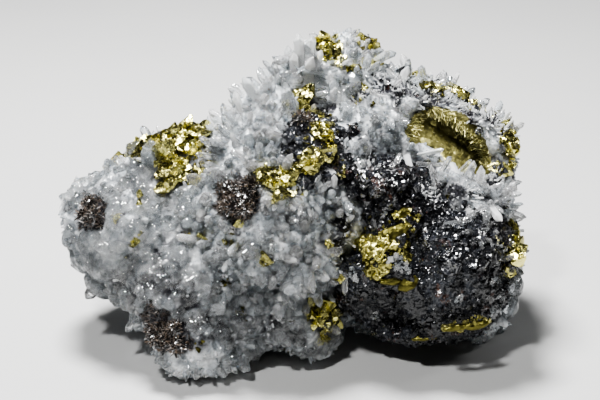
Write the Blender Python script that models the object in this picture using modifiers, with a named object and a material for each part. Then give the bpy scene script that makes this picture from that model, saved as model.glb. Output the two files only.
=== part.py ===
"""A chalcopyrite specimen: brassy chalcopyrite and dark sphalerite grown in a block of quartz crystals.

Sizes and places are in millimetres until FACE turns them into Blender's metres.
A place is (across, up, out) on the display face, from a point in the middle of the specimen.
The face leans back, and the block stands on the flats where its lowest lumps broke off the vein.
"""

import math
import random

import bmesh
import bpy
from mathutils import Matrix, Vector
from mathutils.bvhtree import BVHTree

# Driving dimensions.
FACE_LEAN = math.radians(22)  # how far the display face leans back from upright
FLOOR_BELOW = 33.6  # from the specimen's middle down to the surface that it stands on
MIDDLE_ACROSS = -1.8  # where the middle of the bounding box lies, from the specimen's middle
MIDDLE_BEHIND = -0.3
SIGHT = 360.0  # features are laid out on the face as seen from this far in front of it
SEAM = 0.3  # gap between two minerals that touch
SKIN_CELL = 1.5  # cell of the skin that fuses a rock's lumps
FILLET = 4.0  # how far the grooves between a rock's lumps are filled
RELIEF = ((20, 7.0), (9, 3.0), (4, 1.2))  # (spacing, height) of each scale of a rock's relief
QUARTZ_FACES = 1500
ORE_FACES = 340
CLEAVAGES = 15  # flat steps where the ore has split
CLEAVAGE_DEPTH = (0.8, 2.0)
CLEAVAGE_WIDTH = (9.0, 18.0)
STEP_HEIGHT = 10.0  # of the boxes that cut them
ROOT_DEPTH = 1.4  # how deep a quartz crystal is rooted in the rock
SCATTERED_CRYSTALS = 36  # on the sides, top and back, beside those in SPRAYS
LOWEST_ROOT = 7.0  # no scattered crystal grows nearer to the floor than this
SAME_PLANE = math.radians(0.5)  # facets closer to flat than this are one
SEED = 11

MM = 0.001
FACE = (
    Matrix.Translation(Vector((-MIDDLE_ACROSS, -MIDDLE_BEHIND, FLOOR_BELOW)) * MM)
    @ Matrix.Rotation(math.pi / 2 - FACE_LEAN, 4, "X")
    @ Matrix.Scale(MM, 4)
)

# Lumps of each rock: (across, up, out), (radius across, radius up, radius out), turn in degrees.
QUARTZ_LUMPS = [
    ((-51, -5.5, 1), (10, 11.5, 12), 10),  # left tip
    ((-39, -7, 0), (18, 18, 18), 20),  # left lobe
    ((-33, 3.5, -1), (14, 12.5, 15), 20),
    ((-40, -17.5, 5), (9.5, 9.5, 12), 0),
    ((-26, -24, 12), (13, 15, 14), 35),  # foot at the front left
    ((-24.5, -34, 15), (11, 8.5, 10), 0),
    ((-6, -23, 5), (18, 14, 15), 0),  # low middle
    ((3, -32, 8), (7.5, 7.5, 9), 0),
    ((-2, 1, 0), (25, 22, 27), 0),  # core
    ((-8, -9, 18), (19, 7.5, 8), -28),  # ledge across the core
    ((-9, 15, 4), (12, 15, 14), -30),  # root of the crystal spray
    ((-1, 28, 0), (7, 11, 8), -10),
    ((12, 32, -8), (9.5, 11, 10), 0),  # peak
    ((26, 17, -6), (22, 14, 19), -15),  # right shoulder
    ((34, 19.5, -8), (13, 10.5, 14), -20),
    ((43, 12, -6), (13, 11.5, 17), -35),
    ((39, -1, 0), (15, 12, 20), 0),
    ((47.5, -15, -6), (9, 11, 16), 0),  # right edge
    ((46, -26, -5), (7, 9.5, 13), 0),
    ((2, -4, -18), (37, 25, 18), 0),  # back
    ((28, -25, -8), (22, 12, 17), 0),
]
ORE_LUMPS = [
    ((29, -19, 8), (25, 17, 20), 0),
    ((36, -12, 14), (16, 13, 13), 0),
    ((20, 2, 14), (13, 10, 13), 0),
]
BASIN = ((38.5, 16, 9), (13, 5.6, 6), -32)  # hollow in the right shoulder

# Quartz crystals of the face: (across, up) of the root, heading round the face and rise out of it
# in degrees, length and thickness.
SPRAYS = [
    ((-18.5, 19), 98, 10, 5.5, 2.2),  # fan along the upper left edge
    ((-15, 23), 112, 10, 4.5, 2.6),
    ((-11, 26), 120, 10, 6.0, 3.2),
    ((-8, 28.5), 118, 0, 4.5, 2.6),
    ((-5.5, 30.5), 108, 5, 4.5, 2.4),
    ((-2.2, 34), 102, 10, 5.0, 3.2),  # tall bunch at the top
    ((0, 35), 94, 10, 7.0, 3.8),
    ((2.4, 35), 84, 5, 6.5, 3.4),
    ((-19.5, 13), 155, 15, 6.5, 2.2),
    ((-20, 10.5), 172, 20, 6.5, 2.2),
    ((-19, 8), 190, 25, 5.5, 2.2),
    ((-10, 14), 70, 50, 6.0, 2.8),
    ((-13, 10), 100, 55, 5.5, 2.6),
    ((9, 23), -70, 45, 9.0, 5.0),  # pale slab under the peak
    ((8.5, 4), 80, 40, 5.5, 2.8),
    ((32, 12.5), 10, 25, 6.0, 2.2),  # blades below the basin
    ((27, 9.5), -80, 25, 6.5, 2.8),
    ((38.5, 7.5), -80, 30, 5.5, 3.0),
    ((33.5, 3.5), 115, 30, 6.0, 2.4),
    ((34.5, 7.5), 50, 30, 6.0, 2.4),
    ((40, 7.5), 50, 35, 6.0, 2.8),
    ((46.5, -2), -115, 30, 6.0, 3.0),
    ((50, -0.5), 20, 65, 5.0, 4.2),
    ((-0.3, -17), -95, 35, 8.5, 3.8),  # blunt crystals of the ledge
    ((3.5, -24), -125, 25, 5.0, 2.6),
    ((-2.5, -22), -110, 30, 5.0, 3.2),
    ((-17, -15), 145, 25, 6.0, 2.8),
    ((-14.5, -15.5), -65, 25, 6.0, 3.4),
    ((-9.3, -17.5), -90, 25, 5.0, 3.0),
    ((-5.5, -3), 75, 40, 8.0, 4.4),
    ((-54, -13), -65, 5, 5.5, 3.0),  # left tip
    ((52.5, -13.5), -25, 5, 4.5, 5.0),  # right edge
    ((52, -21), 0, 10, 4.5, 4.6),
    ((50, -29.5), -50, 5, 4.5, 4.0),
    ((26, 30.5), 70, 0, 3.5, 3.2),
]

# The pieces of the other minerals: which mineral, whether on the back, and its nests of crystals
# as (across, up), (radius across, radius up) and turn in degrees.
BRASSY, BROWN = "chalcopyrite", "brown sphalerite"
PIECES = {
    "chalcopyrite_flank": (BRASSY, False, [
        ((-25.5, 17.5), (3.6, 3.8), 0),
        ((-28.5, 14), (5.0, 4.0), 0),
    ]),
    "chalcopyrite_flank_low": (BRASSY, False, [
        ((-31.5, 9), (5.4, 4.2), 0),
        ((-30.5, 5), (4.4, 3.8), 20),
    ]),
    "chalcopyrite_flank_rim": (BRASSY, False, [((-43.5, 12), (5.5, 2.2), 28)]),
    "chalcopyrite_shelf": (BRASSY, False, [((0, 25), (3.7, 3.6), 0)]),
    "chalcopyrite_heart": (BRASSY, False, [((5, 16), (3.4, 3.8), 30)]),
    "chalcopyrite_heart_low": (BRASSY, False, [((3, 10.5), (3.8, 3.2), 0)]),
    "chalcopyrite_centre": (BRASSY, False, [((-5.5, 5.8), (5.2, 2.8), 10)]),
    "chalcopyrite_peak_left": (BRASSY, False, [((6.2, 38), (2.8, 4.6), 25)]),
    "chalcopyrite_peak_right": (BRASSY, False, [((18, 40), (3.4, 3.2), -30)]),
    "chalcopyrite_crest": (BRASSY, False, [((32.5, 28), (2.6, 2.4), 0)]),
    "chalcopyrite_crest_end": (BRASSY, False, [((41, 25.5), (3.2, 2.4), -25)]),
    "chalcopyrite_basin": (BRASSY, False, [
        ((36, 17.6), (9.0, 5.2), -32),
        ((44.5, 11), (5.5, 4.0), -32),
    ]),
    "chalcopyrite_rim": (BRASSY, False, [((52.5, 14.5), (3.0, 5.2), 0)]),
    "chalcopyrite_edge": (BRASSY, False, [((54.2, -12.5), (2.4, 4.4), 0)]),
    "chalcopyrite_vein": (BRASSY, False, [
        ((26.5, -5), (4.4, 3.6), 20),
        ((23.5, -8.5), (5.0, 4.0), 20),
        ((20, -12.5), (6.0, 4.6), 15),
        ((23, -17), (5.0, 3.6), 0),
    ]),
    "chalcopyrite_lower": (BRASSY, False, [((5.5, -28.7), (4.5, 4.4), 0)]),
    "chalcopyrite_lower_spot": (BRASSY, False, [((11.2, -19.5), (1.9, 2.6), 0)]),
    "chalcopyrite_middle_spot": (BRASSY, False, [((6.8, -10.7), (2.2, 2.6), 0)]),
    "chalcopyrite_foot_vein": (BRASSY, False, [((41, -30.5), (7.0, 2.6), 8)]),
    "chalcopyrite_left_spot": (BRASSY, False, [((-40, 0), (1.8, 2.6), 0)]),
    "chalcopyrite_left_speck": (BRASSY, False, [((-40.7, -9.5), (2.2, 1.9), 0)]),
    "chalcopyrite_back": (BRASSY, True, [((-12, 6), (6.5, 4.0), 20), ((-20, 10), (4.5, 3.4), 0)]),
    "chalcopyrite_back_low": (BRASSY, True, [((22, -8), (5.0, 3.4), -30)]),
    "chalcopyrite_back_top": (BRASSY, True, [((4, 22), (4.0, 3.0), 0)]),
    "sphalerite_centre": (BROWN, False, [((-15.7, 0), (5.8, 5.4), 0)]),
    "sphalerite_left": (BROWN, False, [((-52, -3), (3.4, 5.0), 0)]),
    "sphalerite_foot": (BROWN, False, [((-34, -33), (4.4, 7.0), 35)]),
    "sphalerite_heart": (BROWN, False, [((0.6, 20), (3.4, 2.8), 0)]),
    "sphalerite_back": (BROWN, True, [((2, -6), (8.0, 6.0), 15)]),
}

FINISHES = {  # colour, roughness, metallic
    "quartz": ((0.74, 0.77, 0.78), 0.30, 0.0),
    "sphalerite": ((0.045, 0.040, 0.040), 0.35, 0.4),
    "brown sphalerite": ((0.090, 0.055, 0.035), 0.35, 0.2),
    "chalcopyrite": ((0.62, 0.50, 0.16), 0.28, 1.0),
}


def clear_scene():
    for obj in list(bpy.data.objects):
        bpy.data.objects.remove(obj)


def new_collection(name):
    made = bpy.data.collections.new(name)
    bpy.context.scene.collection.children.link(made)
    return made


def finish(name):
    """The material of a mineral."""
    colour, roughness, metallic = FINISHES[name]
    material = bpy.data.materials.new(name)
    material.use_nodes = True
    shader = material.node_tree.nodes["Principled BSDF"]
    shader.inputs["Base Color"].default_value = (*colour, 1)
    shader.inputs["Roughness"].default_value = roughness
    shader.inputs["Metallic"].default_value = metallic
    return material


def mesh_object(name, bm, home):
    """A new object from a bmesh, which it frees."""
    mesh = bpy.data.meshes.new(name)
    bm.to_mesh(mesh)
    bm.free()
    obj = bpy.data.objects.new(name, mesh)
    home.objects.link(obj)
    return obj


def bake_modifiers(obj):
    """Turns the object's modifiers into its mesh."""
    bpy.context.view_layer.update()
    graph = bpy.context.evaluated_depsgraph_get()
    mesh = bpy.data.meshes.new_from_object(obj.evaluated_get(graph))
    obj.modifiers.clear()
    obj.data = mesh


def reach(obj):
    """The lowest and the highest corner of the object's bounding box."""
    places = [vert.co for vert in obj.data.vertices]
    return [Vector(map(pick, *places)) for pick in (min, max)]


def combine(obj, operation, others):
    """One exact Boolean of the object with those of the others that come near it."""
    low, high = reach(obj)
    near = new_collection("near")
    for other in others:
        other_low, other_high = reach(other)
        if all(other_low[k] < high[k] and low[k] < other_high[k] for k in range(3)):
            near.objects.link(other)
    if near.objects:
        boolean = obj.modifiers.new(operation.lower(), "BOOLEAN")
        boolean.operation = operation
        boolean.operand_type = "COLLECTION"
        boolean.collection = near
        bake_modifiers(obj)
    bpy.data.collections.remove(near)


def remove(objects):
    for obj in objects:
        bpy.data.objects.remove(obj)


def clean_up(obj):
    """Throws away the loose chips that cuts leave, and joins what they split of a flat face."""
    bm = bmesh.new()
    bm.from_mesh(obj.data)
    unseen, bodies = set(bm.verts), []
    while unseen:
        body, rim = set(), [unseen.pop()]
        while rim:
            vert = rim.pop()
            body.add(vert)
            found = {edge.other_vert(vert) for edge in vert.link_edges} & unseen
            unseen -= found
            rim.extend(found)
        bodies.append(body)
    largest = max(bodies, key=len)
    bmesh.ops.delete(bm, geom=[vert for vert in bm.verts if vert not in largest], context="VERTS")
    bmesh.ops.dissolve_limit(bm, angle_limit=SAME_PLANE, verts=bm.verts, edges=bm.edges)
    bm.to_mesh(obj.data)
    bm.free()


def lump_matrix(centre, radii, turn):
    """Turns a ball of radius 1 into a lump as the tables give it."""
    return (
        FACE
        @ Matrix.Translation(centre)
        @ Matrix.Rotation(math.radians(turn), 4, "Z")
        @ Matrix.Diagonal((*radii, 1))
    )


def add_skin(obj):
    """One even skin over everything that the object's mesh holds."""
    skin = obj.modifiers.new("skin", "REMESH")
    skin.mode = "VOXEL"
    skin.voxel_size = SKIN_CELL * MM


def rock(name, lumps, faces, home):
    """A lumpy rock: balls fused into one skin, roughened, and broken down to flat facets."""
    bm = bmesh.new()
    for centre, radii, turn in lumps:
        matrix = lump_matrix(centre, [radius + FILLET for radius in radii], turn)
        bmesh.ops.create_icosphere(bm, subdivisions=3, radius=1, matrix=matrix)
    obj = mesh_object(name, bm, home)
    add_skin(obj)
    soften = obj.modifiers.new("soften", "SMOOTH")
    soften.iterations = 6
    shrink = obj.modifiers.new("shrink", "DISPLACE")
    shrink.strength = -FILLET * MM
    shrink.mid_level = 0
    for spacing, height in RELIEF:
        texture = bpy.data.textures.new(f"{name} {spacing} mm", "CLOUDS")
        texture.noise_scale = spacing * MM
        relief = obj.modifiers.new(f"relief {spacing} mm", "DISPLACE")
        relief.texture = texture
        relief.strength = height * MM
    add_skin(obj)
    bake_modifiers(obj)
    facets = obj.modifiers.new("facets", "DECIMATE")
    facets.ratio = faces / (2 * len(obj.data.polygons))
    bake_modifiers(obj)
    return obj


def hollow_out(obj, hollow, work):
    """Sinks a lump-shaped hollow into a rock."""
    bm = bmesh.new()
    bmesh.ops.create_icosphere(bm, subdivisions=2, radius=1, matrix=lump_matrix(*hollow))
    bowl = mesh_object("hollow", bm, work)
    combine(obj, "DIFFERENCE", [bowl])
    remove([bowl])


def cleave(obj, polygons, work, swell=0.0):
    """Splits flat steps off a rock, with boxes sunk a little way into its facets."""
    rng = random.Random(SEED)
    steps = []
    for polygon in rng.choices(polygons, weights=[p.area for p in polygons], k=CLEAVAGES):
        place = frame_at(polygon.center, leaning(polygon.normal, 0.12, rng), rng.uniform(0, math.tau))
        depth = rng.uniform(*CLEAVAGE_DEPTH) - swell
        wide, high = (rng.uniform(*CLEAVAGE_WIDTH) - 2 * swell for _ in range(2))
        size = Matrix.Diagonal((wide, high, STEP_HEIGHT, 1))
        raised = Matrix.Translation((0, 0, STEP_HEIGHT / 2 - depth))
        bm = bmesh.new()
        bmesh.ops.create_cube(bm, size=1, matrix=place @ raised @ size)
        steps.append(mesh_object("step", bm, work))
    combine(obj, "DIFFERENCE", steps)
    remove(steps)
    clean_up(obj)


def swollen(obj, home):
    """A copy of a rock, larger all round by the seam, to cut what touches it."""
    copy = bpy.data.objects.new(f"around {obj.name}", obj.data)
    home.objects.link(copy)
    swell = copy.modifiers.new("swell", "DISPLACE")
    swell.strength = SEAM * MM
    swell.mid_level = 0
    bake_modifiers(copy)
    return copy


def floor_cutter(home):
    """Everything below the surface that the specimen stands on."""
    bm = bmesh.new()
    below = Matrix.Translation((0, 0, -0.1)) @ Matrix.Scale(0.2, 4)
    bmesh.ops.create_cube(bm, size=1, matrix=below)
    return mesh_object("floor", bm, home)


def surface_of(*objects):
    """What lines of sight are traced to."""
    bm = bmesh.new()
    for obj in objects:
        bm.from_mesh(obj.data)
    tree = BVHTree.FromBMesh(bm)
    bm.free()
    return tree


def seen_at(surface, across, up, behind=False):
    """The point and outward normal of the surface seen at a place on the face, or on the back.

    Where the line of sight passes by the rock, that is the point that it passes closest to.
    """
    side = -1 if behind else 1
    eye = FACE @ Vector((0, 0, side * SIGHT))
    aim = FACE @ Vector((side * across, up, 0)) - eye
    point, normal, _, _ = surface.ray_cast(eye, aim)
    if point is None:
        passed = [surface.find_nearest(eye + aim * (0.88 + 0.01 * k)) for k in range(24)]
        point, normal, _, _ = min(passed, key=lambda hit: hit[3])
    return point, normal


def frame_at(point, direction, spin=0.0):
    """A matrix in millimetres that stands +Z along the direction at a point, turned by spin."""
    return (
        Matrix.Translation(point)
        @ direction.to_track_quat("Z", "Y").to_matrix().to_4x4()
        @ Matrix.Rotation(spin, 4, "Z")
        @ Matrix.Scale(MM, 4)
    )


def toward(turn, rise):
    """A direction that points round the face by turn and out of it by rise, in degrees."""
    turn, rise = math.radians(turn), math.radians(rise)
    flat = Vector((math.cos(turn) * math.cos(rise), math.sin(turn) * math.cos(rise), math.sin(rise)))
    return (FACE.to_3x3() @ flat).normalized()


def leaning(direction, spread, rng):
    """A direction a little off another."""
    return (direction + Vector([rng.gauss(0, spread) for _ in range(3)])).normalized()


def quartz_crystal(point, direction, length, thickness, spin, home):
    """A six-sided prism with a pointed end, rooted a little way under a point."""
    tip = 0.75 * thickness
    shaft = length + ROOT_DEPTH - tip
    place = frame_at(point, direction, spin) @ Matrix.Translation((0, 0, shaft / 2 - ROOT_DEPTH))
    bm = bmesh.new()
    bmesh.ops.create_cone(
        bm,
        cap_ends=True,
        segments=6,
        radius1=0.50 * thickness,
        radius2=0.45 * thickness,
        depth=shaft,
        matrix=place,
    )
    bm.normal_update()
    ends = [face for face in bm.faces if len(face.verts) == 6]
    bmesh.ops.poke(bm, faces=[max(ends, key=lambda end: end.normal.dot(direction))], offset=tip * MM)
    return mesh_object("quartz crystal", bm, home)


def covered(point, skin):
    """Whether a point lies under a skin, or just outside it."""
    nearest, normal, _, distance = skin.find_nearest(point)
    return (point - nearest).dot(normal) < 0 or distance < MM


def quartz_crystals(rock_mesh, surface, cover, home, swell=0.0):
    """The crystals of SPRAYS, then others scattered over the rock where the cover leaves it bare."""
    rng = random.Random(SEED)
    made = []
    for (across, up), turn, rise, length, thickness in SPRAYS:
        point, _ = seen_at(surface, across, up)
        spin = rng.uniform(0, 1)
        made.append(
            quartz_crystal(point, toward(turn, rise), length + swell, thickness + 2 * swell, spin, home)
        )
    polygons = rock_mesh.polygons
    for polygon in rng.choices(polygons, weights=[p.area for p in polygons], k=SCATTERED_CRYSTALS):
        direction = leaning(polygon.normal, 0.3, rng)
        thickness = rng.uniform(2.4, 4.2)
        length = thickness * rng.uniform(0.8, 1.15)
        spin = rng.uniform(0, 1)
        if polygon.center.z > LOWEST_ROOT * MM and not covered(polygon.center, cover):
            made.append(
                quartz_crystal(polygon.center, direction, length + swell, thickness + 2 * swell, spin, home)
            )
    return made


def nested_crystals(nests, behind, surface, seed, home, swell=0.0):
    """The root and the blunt crystals of each nest in a piece of mineral."""
    rng = random.Random(seed)
    made = []
    for (across, up), (wide, high), turn in nests:
        point, normal = seen_at(surface, across, up, behind)
        over = normal.cross(toward(180 - turn if behind else turn, 0)).normalized()
        axes = Matrix((over.cross(normal), over, normal)).transposed().to_4x4()
        seat = Matrix.Translation(point) @ axes @ Matrix.Scale(MM, 4)
        low = min(wide, high)
        bm = bmesh.new()
        radii = Matrix.Diagonal((wide + swell, high + swell, 0.45 * low + swell, 1))
        bmesh.ops.create_icosphere(bm, subdivisions=1, radius=1.1, matrix=seat @ radii)
        made.append(mesh_object("root", bm, home))
        for _ in range(round(2 + 0.08 * wide * high)):
            away, angle = math.sqrt(rng.uniform(0, 0.8)), rng.uniform(0, math.tau)
            place = Matrix.Translation((
                away * wide * math.cos(angle),
                away * high * math.sin(angle),
                0.38 * low * math.sqrt(1 - away * away),
            ))
            axis = Vector([rng.gauss(0, 1) for _ in range(3)])
            tilt = Matrix.Rotation(rng.uniform(0, math.tau), 4, axis)
            radius = rng.uniform(0.25, 0.45) * low + 1.0 + 1.7 * swell
            bm = bmesh.new()
            bmesh.ops.create_uvsphere(
                bm, u_segments=4, v_segments=2, radius=radius, matrix=seat @ place @ tilt
            )
            made.append(mesh_object("blunt crystal", bm, home))
    return made


def main():
    clear_scene()
    specimen = new_collection("chalcopyrite specimen")
    work = new_collection("cutters")
    minerals = {name: finish(name) for name in FINISHES}

    quartz = rock("quartz_matrix", QUARTZ_LUMPS, QUARTZ_FACES, specimen)
    hollow_out(quartz, BASIN, work)
    ore = rock("sphalerite_mass", ORE_LUMPS, ORE_FACES, specimen)
    around_ore = swollen(ore, work)
    unsplit = ore.data.polygons
    cleave(ore, unsplit, work)
    cleave(around_ore, unsplit, work, SEAM)
    cover = surface_of(ore)
    surface = surface_of(quartz, ore)
    floor = floor_cutter(work)
    around_quartz = [swollen(quartz, work), *quartz_crystals(quartz.data, surface, cover, work, SEAM)]

    crystals = quartz_crystals(quartz.data, surface, cover, work)
    combine(quartz, "UNION", crystals)
    remove(crystals)
    combine(quartz, "DIFFERENCE", [floor])
    combine(ore, "DIFFERENCE", [floor, *around_quartz])
    for obj, mineral in ((quartz, "quartz"), (ore, "sphalerite")):
        clean_up(obj)
        obj.data.materials.append(minerals[mineral])

    cutters = [floor, around_ore, *around_quartz]
    for seed, (name, (mineral, behind, nests)) in enumerate(PIECES.items()):
        obj, *others = nested_crystals(nests, behind, surface, seed, work)
        combine(obj, "UNION", others)
        remove(others)
        combine(obj, "DIFFERENCE", cutters)
        clean_up(obj)
        obj.name = name
        obj.data.materials.clear()
        obj.data.materials.append(minerals[mineral])
        specimen.objects.link(obj)
        work.objects.unlink(obj)
        cutters += nested_crystals(nests, behind, surface, seed, work, SEAM)
    remove(cutters)


main()
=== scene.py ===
"""The looks of a chalcopyrite specimen, dressed over its CAD solids.

Quartz points cover a milky block, dark sphalerite is split into glinting steps, and nests of
brassy chalcopyrite grow on both. Places on the display face are (across, up) in millimetres.
"""

import math
import random
from contextlib import contextmanager
from itertools import product
from types import SimpleNamespace

import bmesh
import bpy
import numpy as np
from mathutils import Matrix, Vector, kdtree, noise
from mathutils.bvhtree import BVHTree


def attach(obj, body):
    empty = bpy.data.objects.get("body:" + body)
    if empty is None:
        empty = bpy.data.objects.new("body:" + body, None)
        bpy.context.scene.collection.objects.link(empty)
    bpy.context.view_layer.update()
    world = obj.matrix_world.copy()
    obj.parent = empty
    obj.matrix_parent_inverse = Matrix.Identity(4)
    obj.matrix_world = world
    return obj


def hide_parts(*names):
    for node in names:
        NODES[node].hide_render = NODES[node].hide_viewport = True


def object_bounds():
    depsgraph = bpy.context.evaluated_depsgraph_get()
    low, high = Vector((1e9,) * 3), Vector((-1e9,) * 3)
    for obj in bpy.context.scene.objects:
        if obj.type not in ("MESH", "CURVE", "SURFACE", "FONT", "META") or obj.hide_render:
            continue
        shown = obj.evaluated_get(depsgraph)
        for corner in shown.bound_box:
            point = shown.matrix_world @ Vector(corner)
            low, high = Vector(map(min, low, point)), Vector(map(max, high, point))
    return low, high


MM = 0.001
LEAN_BACK = 22  # how far the display face leans back, in degrees
FACE = (  # the display face: millimetres across, up and out of it to world places
    Matrix.Translation(Vector((1.8, 0.3, 33.6)) * MM)
    @ Matrix.Rotation(math.radians(90 - LEAN_BACK), 4, "X")
    @ Matrix.Scale(MM, 4)
)
OUTWARD = np.array(FACE.to_3x3().normalized().col[2])
SIGHT = 360.0  # the display face is seen from this far in front of it
LENS_MM, SENSOR_MM = 86.4, 36
FLOOR_HALF_WIDTH = 3.0
BOX_MARGIN_MM = 0.3  # how far inside the box of the solids the crystals' tips stay
FLOOR_GAP_MM = 1.0  # no crystal grows on the underside, below this height
LOST_MM = 6.0  # gaps between minerals are measured up to this far
ROOTED = 0.45  # share of its thickness that a single crystal is sunk in the rock
FACETED_POINTS = 17  # corners drawn for a faceted lump
LUMP_ROUGHNESS_MM = 0.35
SHEET_SUNK_MM, SHEET_WALL_MM = 3.0, 1.0  # how deep a sheet's edge dives, and how thick it is
BASIN_CLEARANCE_MM = 1.2  # what the rock leaves free under the basin's floor
BASIN_SPANS, BASIN_STEP_MM = ((20, 54), (0, 30)), 0.36  # the sheets' grids, across and up
VEIN_SPANS, VEIN_STEP_MM = ((12, 31), (-23, -6)), 0.24
SEED = 5

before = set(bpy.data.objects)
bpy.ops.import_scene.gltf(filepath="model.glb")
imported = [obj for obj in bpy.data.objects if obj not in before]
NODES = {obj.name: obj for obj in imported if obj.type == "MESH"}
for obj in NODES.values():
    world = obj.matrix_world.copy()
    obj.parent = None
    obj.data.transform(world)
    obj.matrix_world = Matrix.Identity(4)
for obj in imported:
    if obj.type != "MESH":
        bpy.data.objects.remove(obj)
CAD_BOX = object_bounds()

# ---- places on the display face ----

# Patches are ellipses: (across, up), (radius across, radius up) and the turn in degrees.
DARK_PLACES = [  # where black ore lies bare between the quartz crystals
    ((3.0, 13), (7.5, 9), -8),
    ((12.5, 6.5), (4, 3.4), 0),
    ((18, 6.0), (7, 3.0), 0),
    ((12.3, 17), (2.2, 1.5), 20),
    ((51, 7.2), (1.6, 1.6), 0),
    ((36, 3.4), (1.6, 1.2), 0),
    ((41, -0.5), (1.0, 1.2), 0),
    ((46.5, -7), (1.6, 1.0), 0),
]
MIXED_PLACES = [  # where fine white crystals stand over black ore
    ((30, 25.5), (13, 5), -20),
    ((15, 25.2), (4, 1.8), 0),
    ((45, 21), (8, 3.5), -35),
    ((45, -9.5), (8, 3.6), 0),
    ((37, 0.5), (6, 3.5), -20),
    ((48, 4.5), (4, 2.5), -30),
    ((20, 8.0), (10, 2.0), -5),
    ((32, -1), (4.5, 5), 0),
    ((10.5, -8), (3.2, 7), 0),
    ((42, 1), (3.5, 2.2), 30),
    ((50.5, -5.5), (2.6, 3), 0),
    ((46.5, -6), (3, 1.6), 10),
]
POINTED_PLACES = [  # where the quartz grows in long points
    ((-10, 19), (12, 14), 30),
    ((-4, 28), (9, 10), 0),
    ((-3, -2), (12, 12), 0),
    ((2, -18), (10, 8), 0),
    ((30, 10), (18, 8), -10),
    ((45, -2), (12, 7), 0),
    ((18, 30), (9, 8), 0),
    ((-19, -12), (8, 6), 0),
]
SMOOTH_PLACES = [  # where it is worn or grown into smooth knobs
    ((-50, -5), (9, 13), 10),
    ((-51, -18), (9, 10), 0),
    ((0.5, 30.5), (6, 3.5), 15),
    ((10.5, 24), (3.5, 5.5), 0),
    ((-38, -17), (13, 12), 0),
    ((-26, -30), (12, 10), 0),
    ((-36, 4), (9, 7), 20),
    ((4, -34), (7, 5), 0),
]
SHORT_PLACES = [  # where the crystals stay small
    ((-10, 36), (7, 8), 20),
    ((-19, 29), (6, 7), 0),
    ((53, -31), (6, 7), 0),
]
STOUT_PLACES = [  # where short thick crystals show their tips
    ((-2, -10), (15, 12), 0),
    ((-10, -27), (14, 8), 0),
    ((44, -1), (11, 6), -10),
    ((20, 14), (9, 6), 0),
]
PAINTED_SHADE_PLACES = [  # where shade is painted on the quartz in blotches: shadowed lower parts and dark gaps between crystals
    ((-30, -28), (22, 9), -15),
    ((0, -31), (17, 8), 0),
    ((45, 0), (11, 8), 0),
    ((20, 12), (8, 6), 0),
]
GREY_PLACES = [((-44, 4), (11, 8), 15), ((-34, -10), (11, 12), 0)]  # where it is evenly greyer
BRASS_PLACES = [  # where small brassy crystals join the nests up
    ((-29, 11.5), (6.5, 7.5), 15),
    ((-25, 18), (4, 3), 20),
    ((-41, 12.6), (7, 1.6), 27),
    ((0.5, 24), (3.8, 4), 0),
    ((5.5, 17), (3.4, 4.5), 30),
    ((3.5, 11.5), (4.5, 3.4), 0),
    ((-5.5, 6), (5.5, 3), 10),
    ((-3.5, 2), (4, 1.4), 0),
    ((7, 38), (3.2, 4.8), 25),
    ((18, 40), (4, 3), -30),
    ((52.5, 14.5), (2.6, 6), 0),
    ((54.5, -12.5), (2.2, 4.6), 0),
    ((5.5, -28.5), (4.2, 5), 0),
    ((20, -11), (6, 9), -15),
    ((41, -30.5), (8, 2.4), 8),
]
BRASS_SPECKS = [  # (across, up), size
    ((-42.7, -14.6), 0.9), ((-45.8, -5.0), 0.6), ((-28.4, -9.7), 1.3), ((-24.2, -9.0), 0.8),
    ((-16.0, -6.0), 1.1), ((-15.6, -8.2), 1.0), ((-18.0, -10.8), 1.1), ((-8.0, -14.8), 1.4),
    ((12.5, 32.0), 1.2), ((20.2, 34.2), 1.4), ((15.5, 28.0), 1.4), ((14.0, 25.5), 1.3),
    ((18.0, 23.5), 0.8), ((10.8, 8.5), 1.3), ((33.0, 8.5), 1.2), ((37.0, 1.2), 1.4),
    ((29.8, 31.8), 1.4), ((34.6, 27.8), 1.8), ((39.2, 28.8), 1.5), ((43.5, 23.7), 1.6),
    ((46.3, 22.7), 1.4), ((48.0, 20.5), 1.2), ((53.2, 10.0), 1.3), ((48.8, 8.5), 1.6),
    ((50.0, 6.8), 1.2), ((53.9, -18.0), 1.0), ((11.0, -9.5), 0.9), ((39.2, -10.8), 1.0),
    ((32.0, -34.8), 1.6), ((42.0, -8.0), 0.8), ((28.2, -2.0), 1.2), ((-4.0, 35.5), 0.6),
]
DULL_SPECKS = [  # dark tarnished grains
    ((-18.6, -21.0), (2.0, 1.1), -15), ((-25.2, -36.4), (1.3, 2.2), 25), ((-1.8, -30.5), (1.2, 1.0), 0),
    ((-14.5, -28.5), (1.6, 1.0), 0), ((-4.6, -37.2), (1.4, 0.9), 0), ((-28.5, -9.0), (0.8, 1.2), 0),
]
BROWN_PLACES = [  # where brown needles of sphalerite grow
    ((-15.7, 0.3), (6.0, 5.8), 0),
    ((-52, -3.2), (3.6, 5.2), 0),
    ((-35, -31.5), (4.0, 6.5), 30),
    ((-29.5, -36.0), (3.2, 2.6), 0),
]
BASIN = [  # the hollow lined with brassy fibres
    ((37.5, 15.5), (12, 5.6), -32), ((41, 11.0), (7.5, 4.5), -25), ((30, 18), (4.5, 4.5), 0),
    ((44.5, 8.8), (4.4, 3.2), -30),
]
BASIN_BACK_MM = -5.0  # what lies further back than this is on the other side of the rock
BASIN_MIDDLE, BASIN_TURN = (37.5, 15.0), -32
BASIN_AIM = (38.5, 12.5, 9.0)  # what the fibres of the rim lean to: across, up, out
BASIN_PROFILE = [  # place across the hollow, how far out its floor lies there
    (-8, 13.5), (-5, 11.0), (-2.5, 8.2), (-0.5, 6.2), (1, 5.0), (3, 5.2), (5, 6.8), (7, 8.0),
]
BASIN_PAINTED_SHADE = [  # painted shade on its floor, under the overhanging upper rim
    ((40.5, 14.4), (7.5, 2.2), -36), ((34.5, 18.8), (5, 2), -20), ((44, 10), (3.5, 2.5), -40),
]
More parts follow.
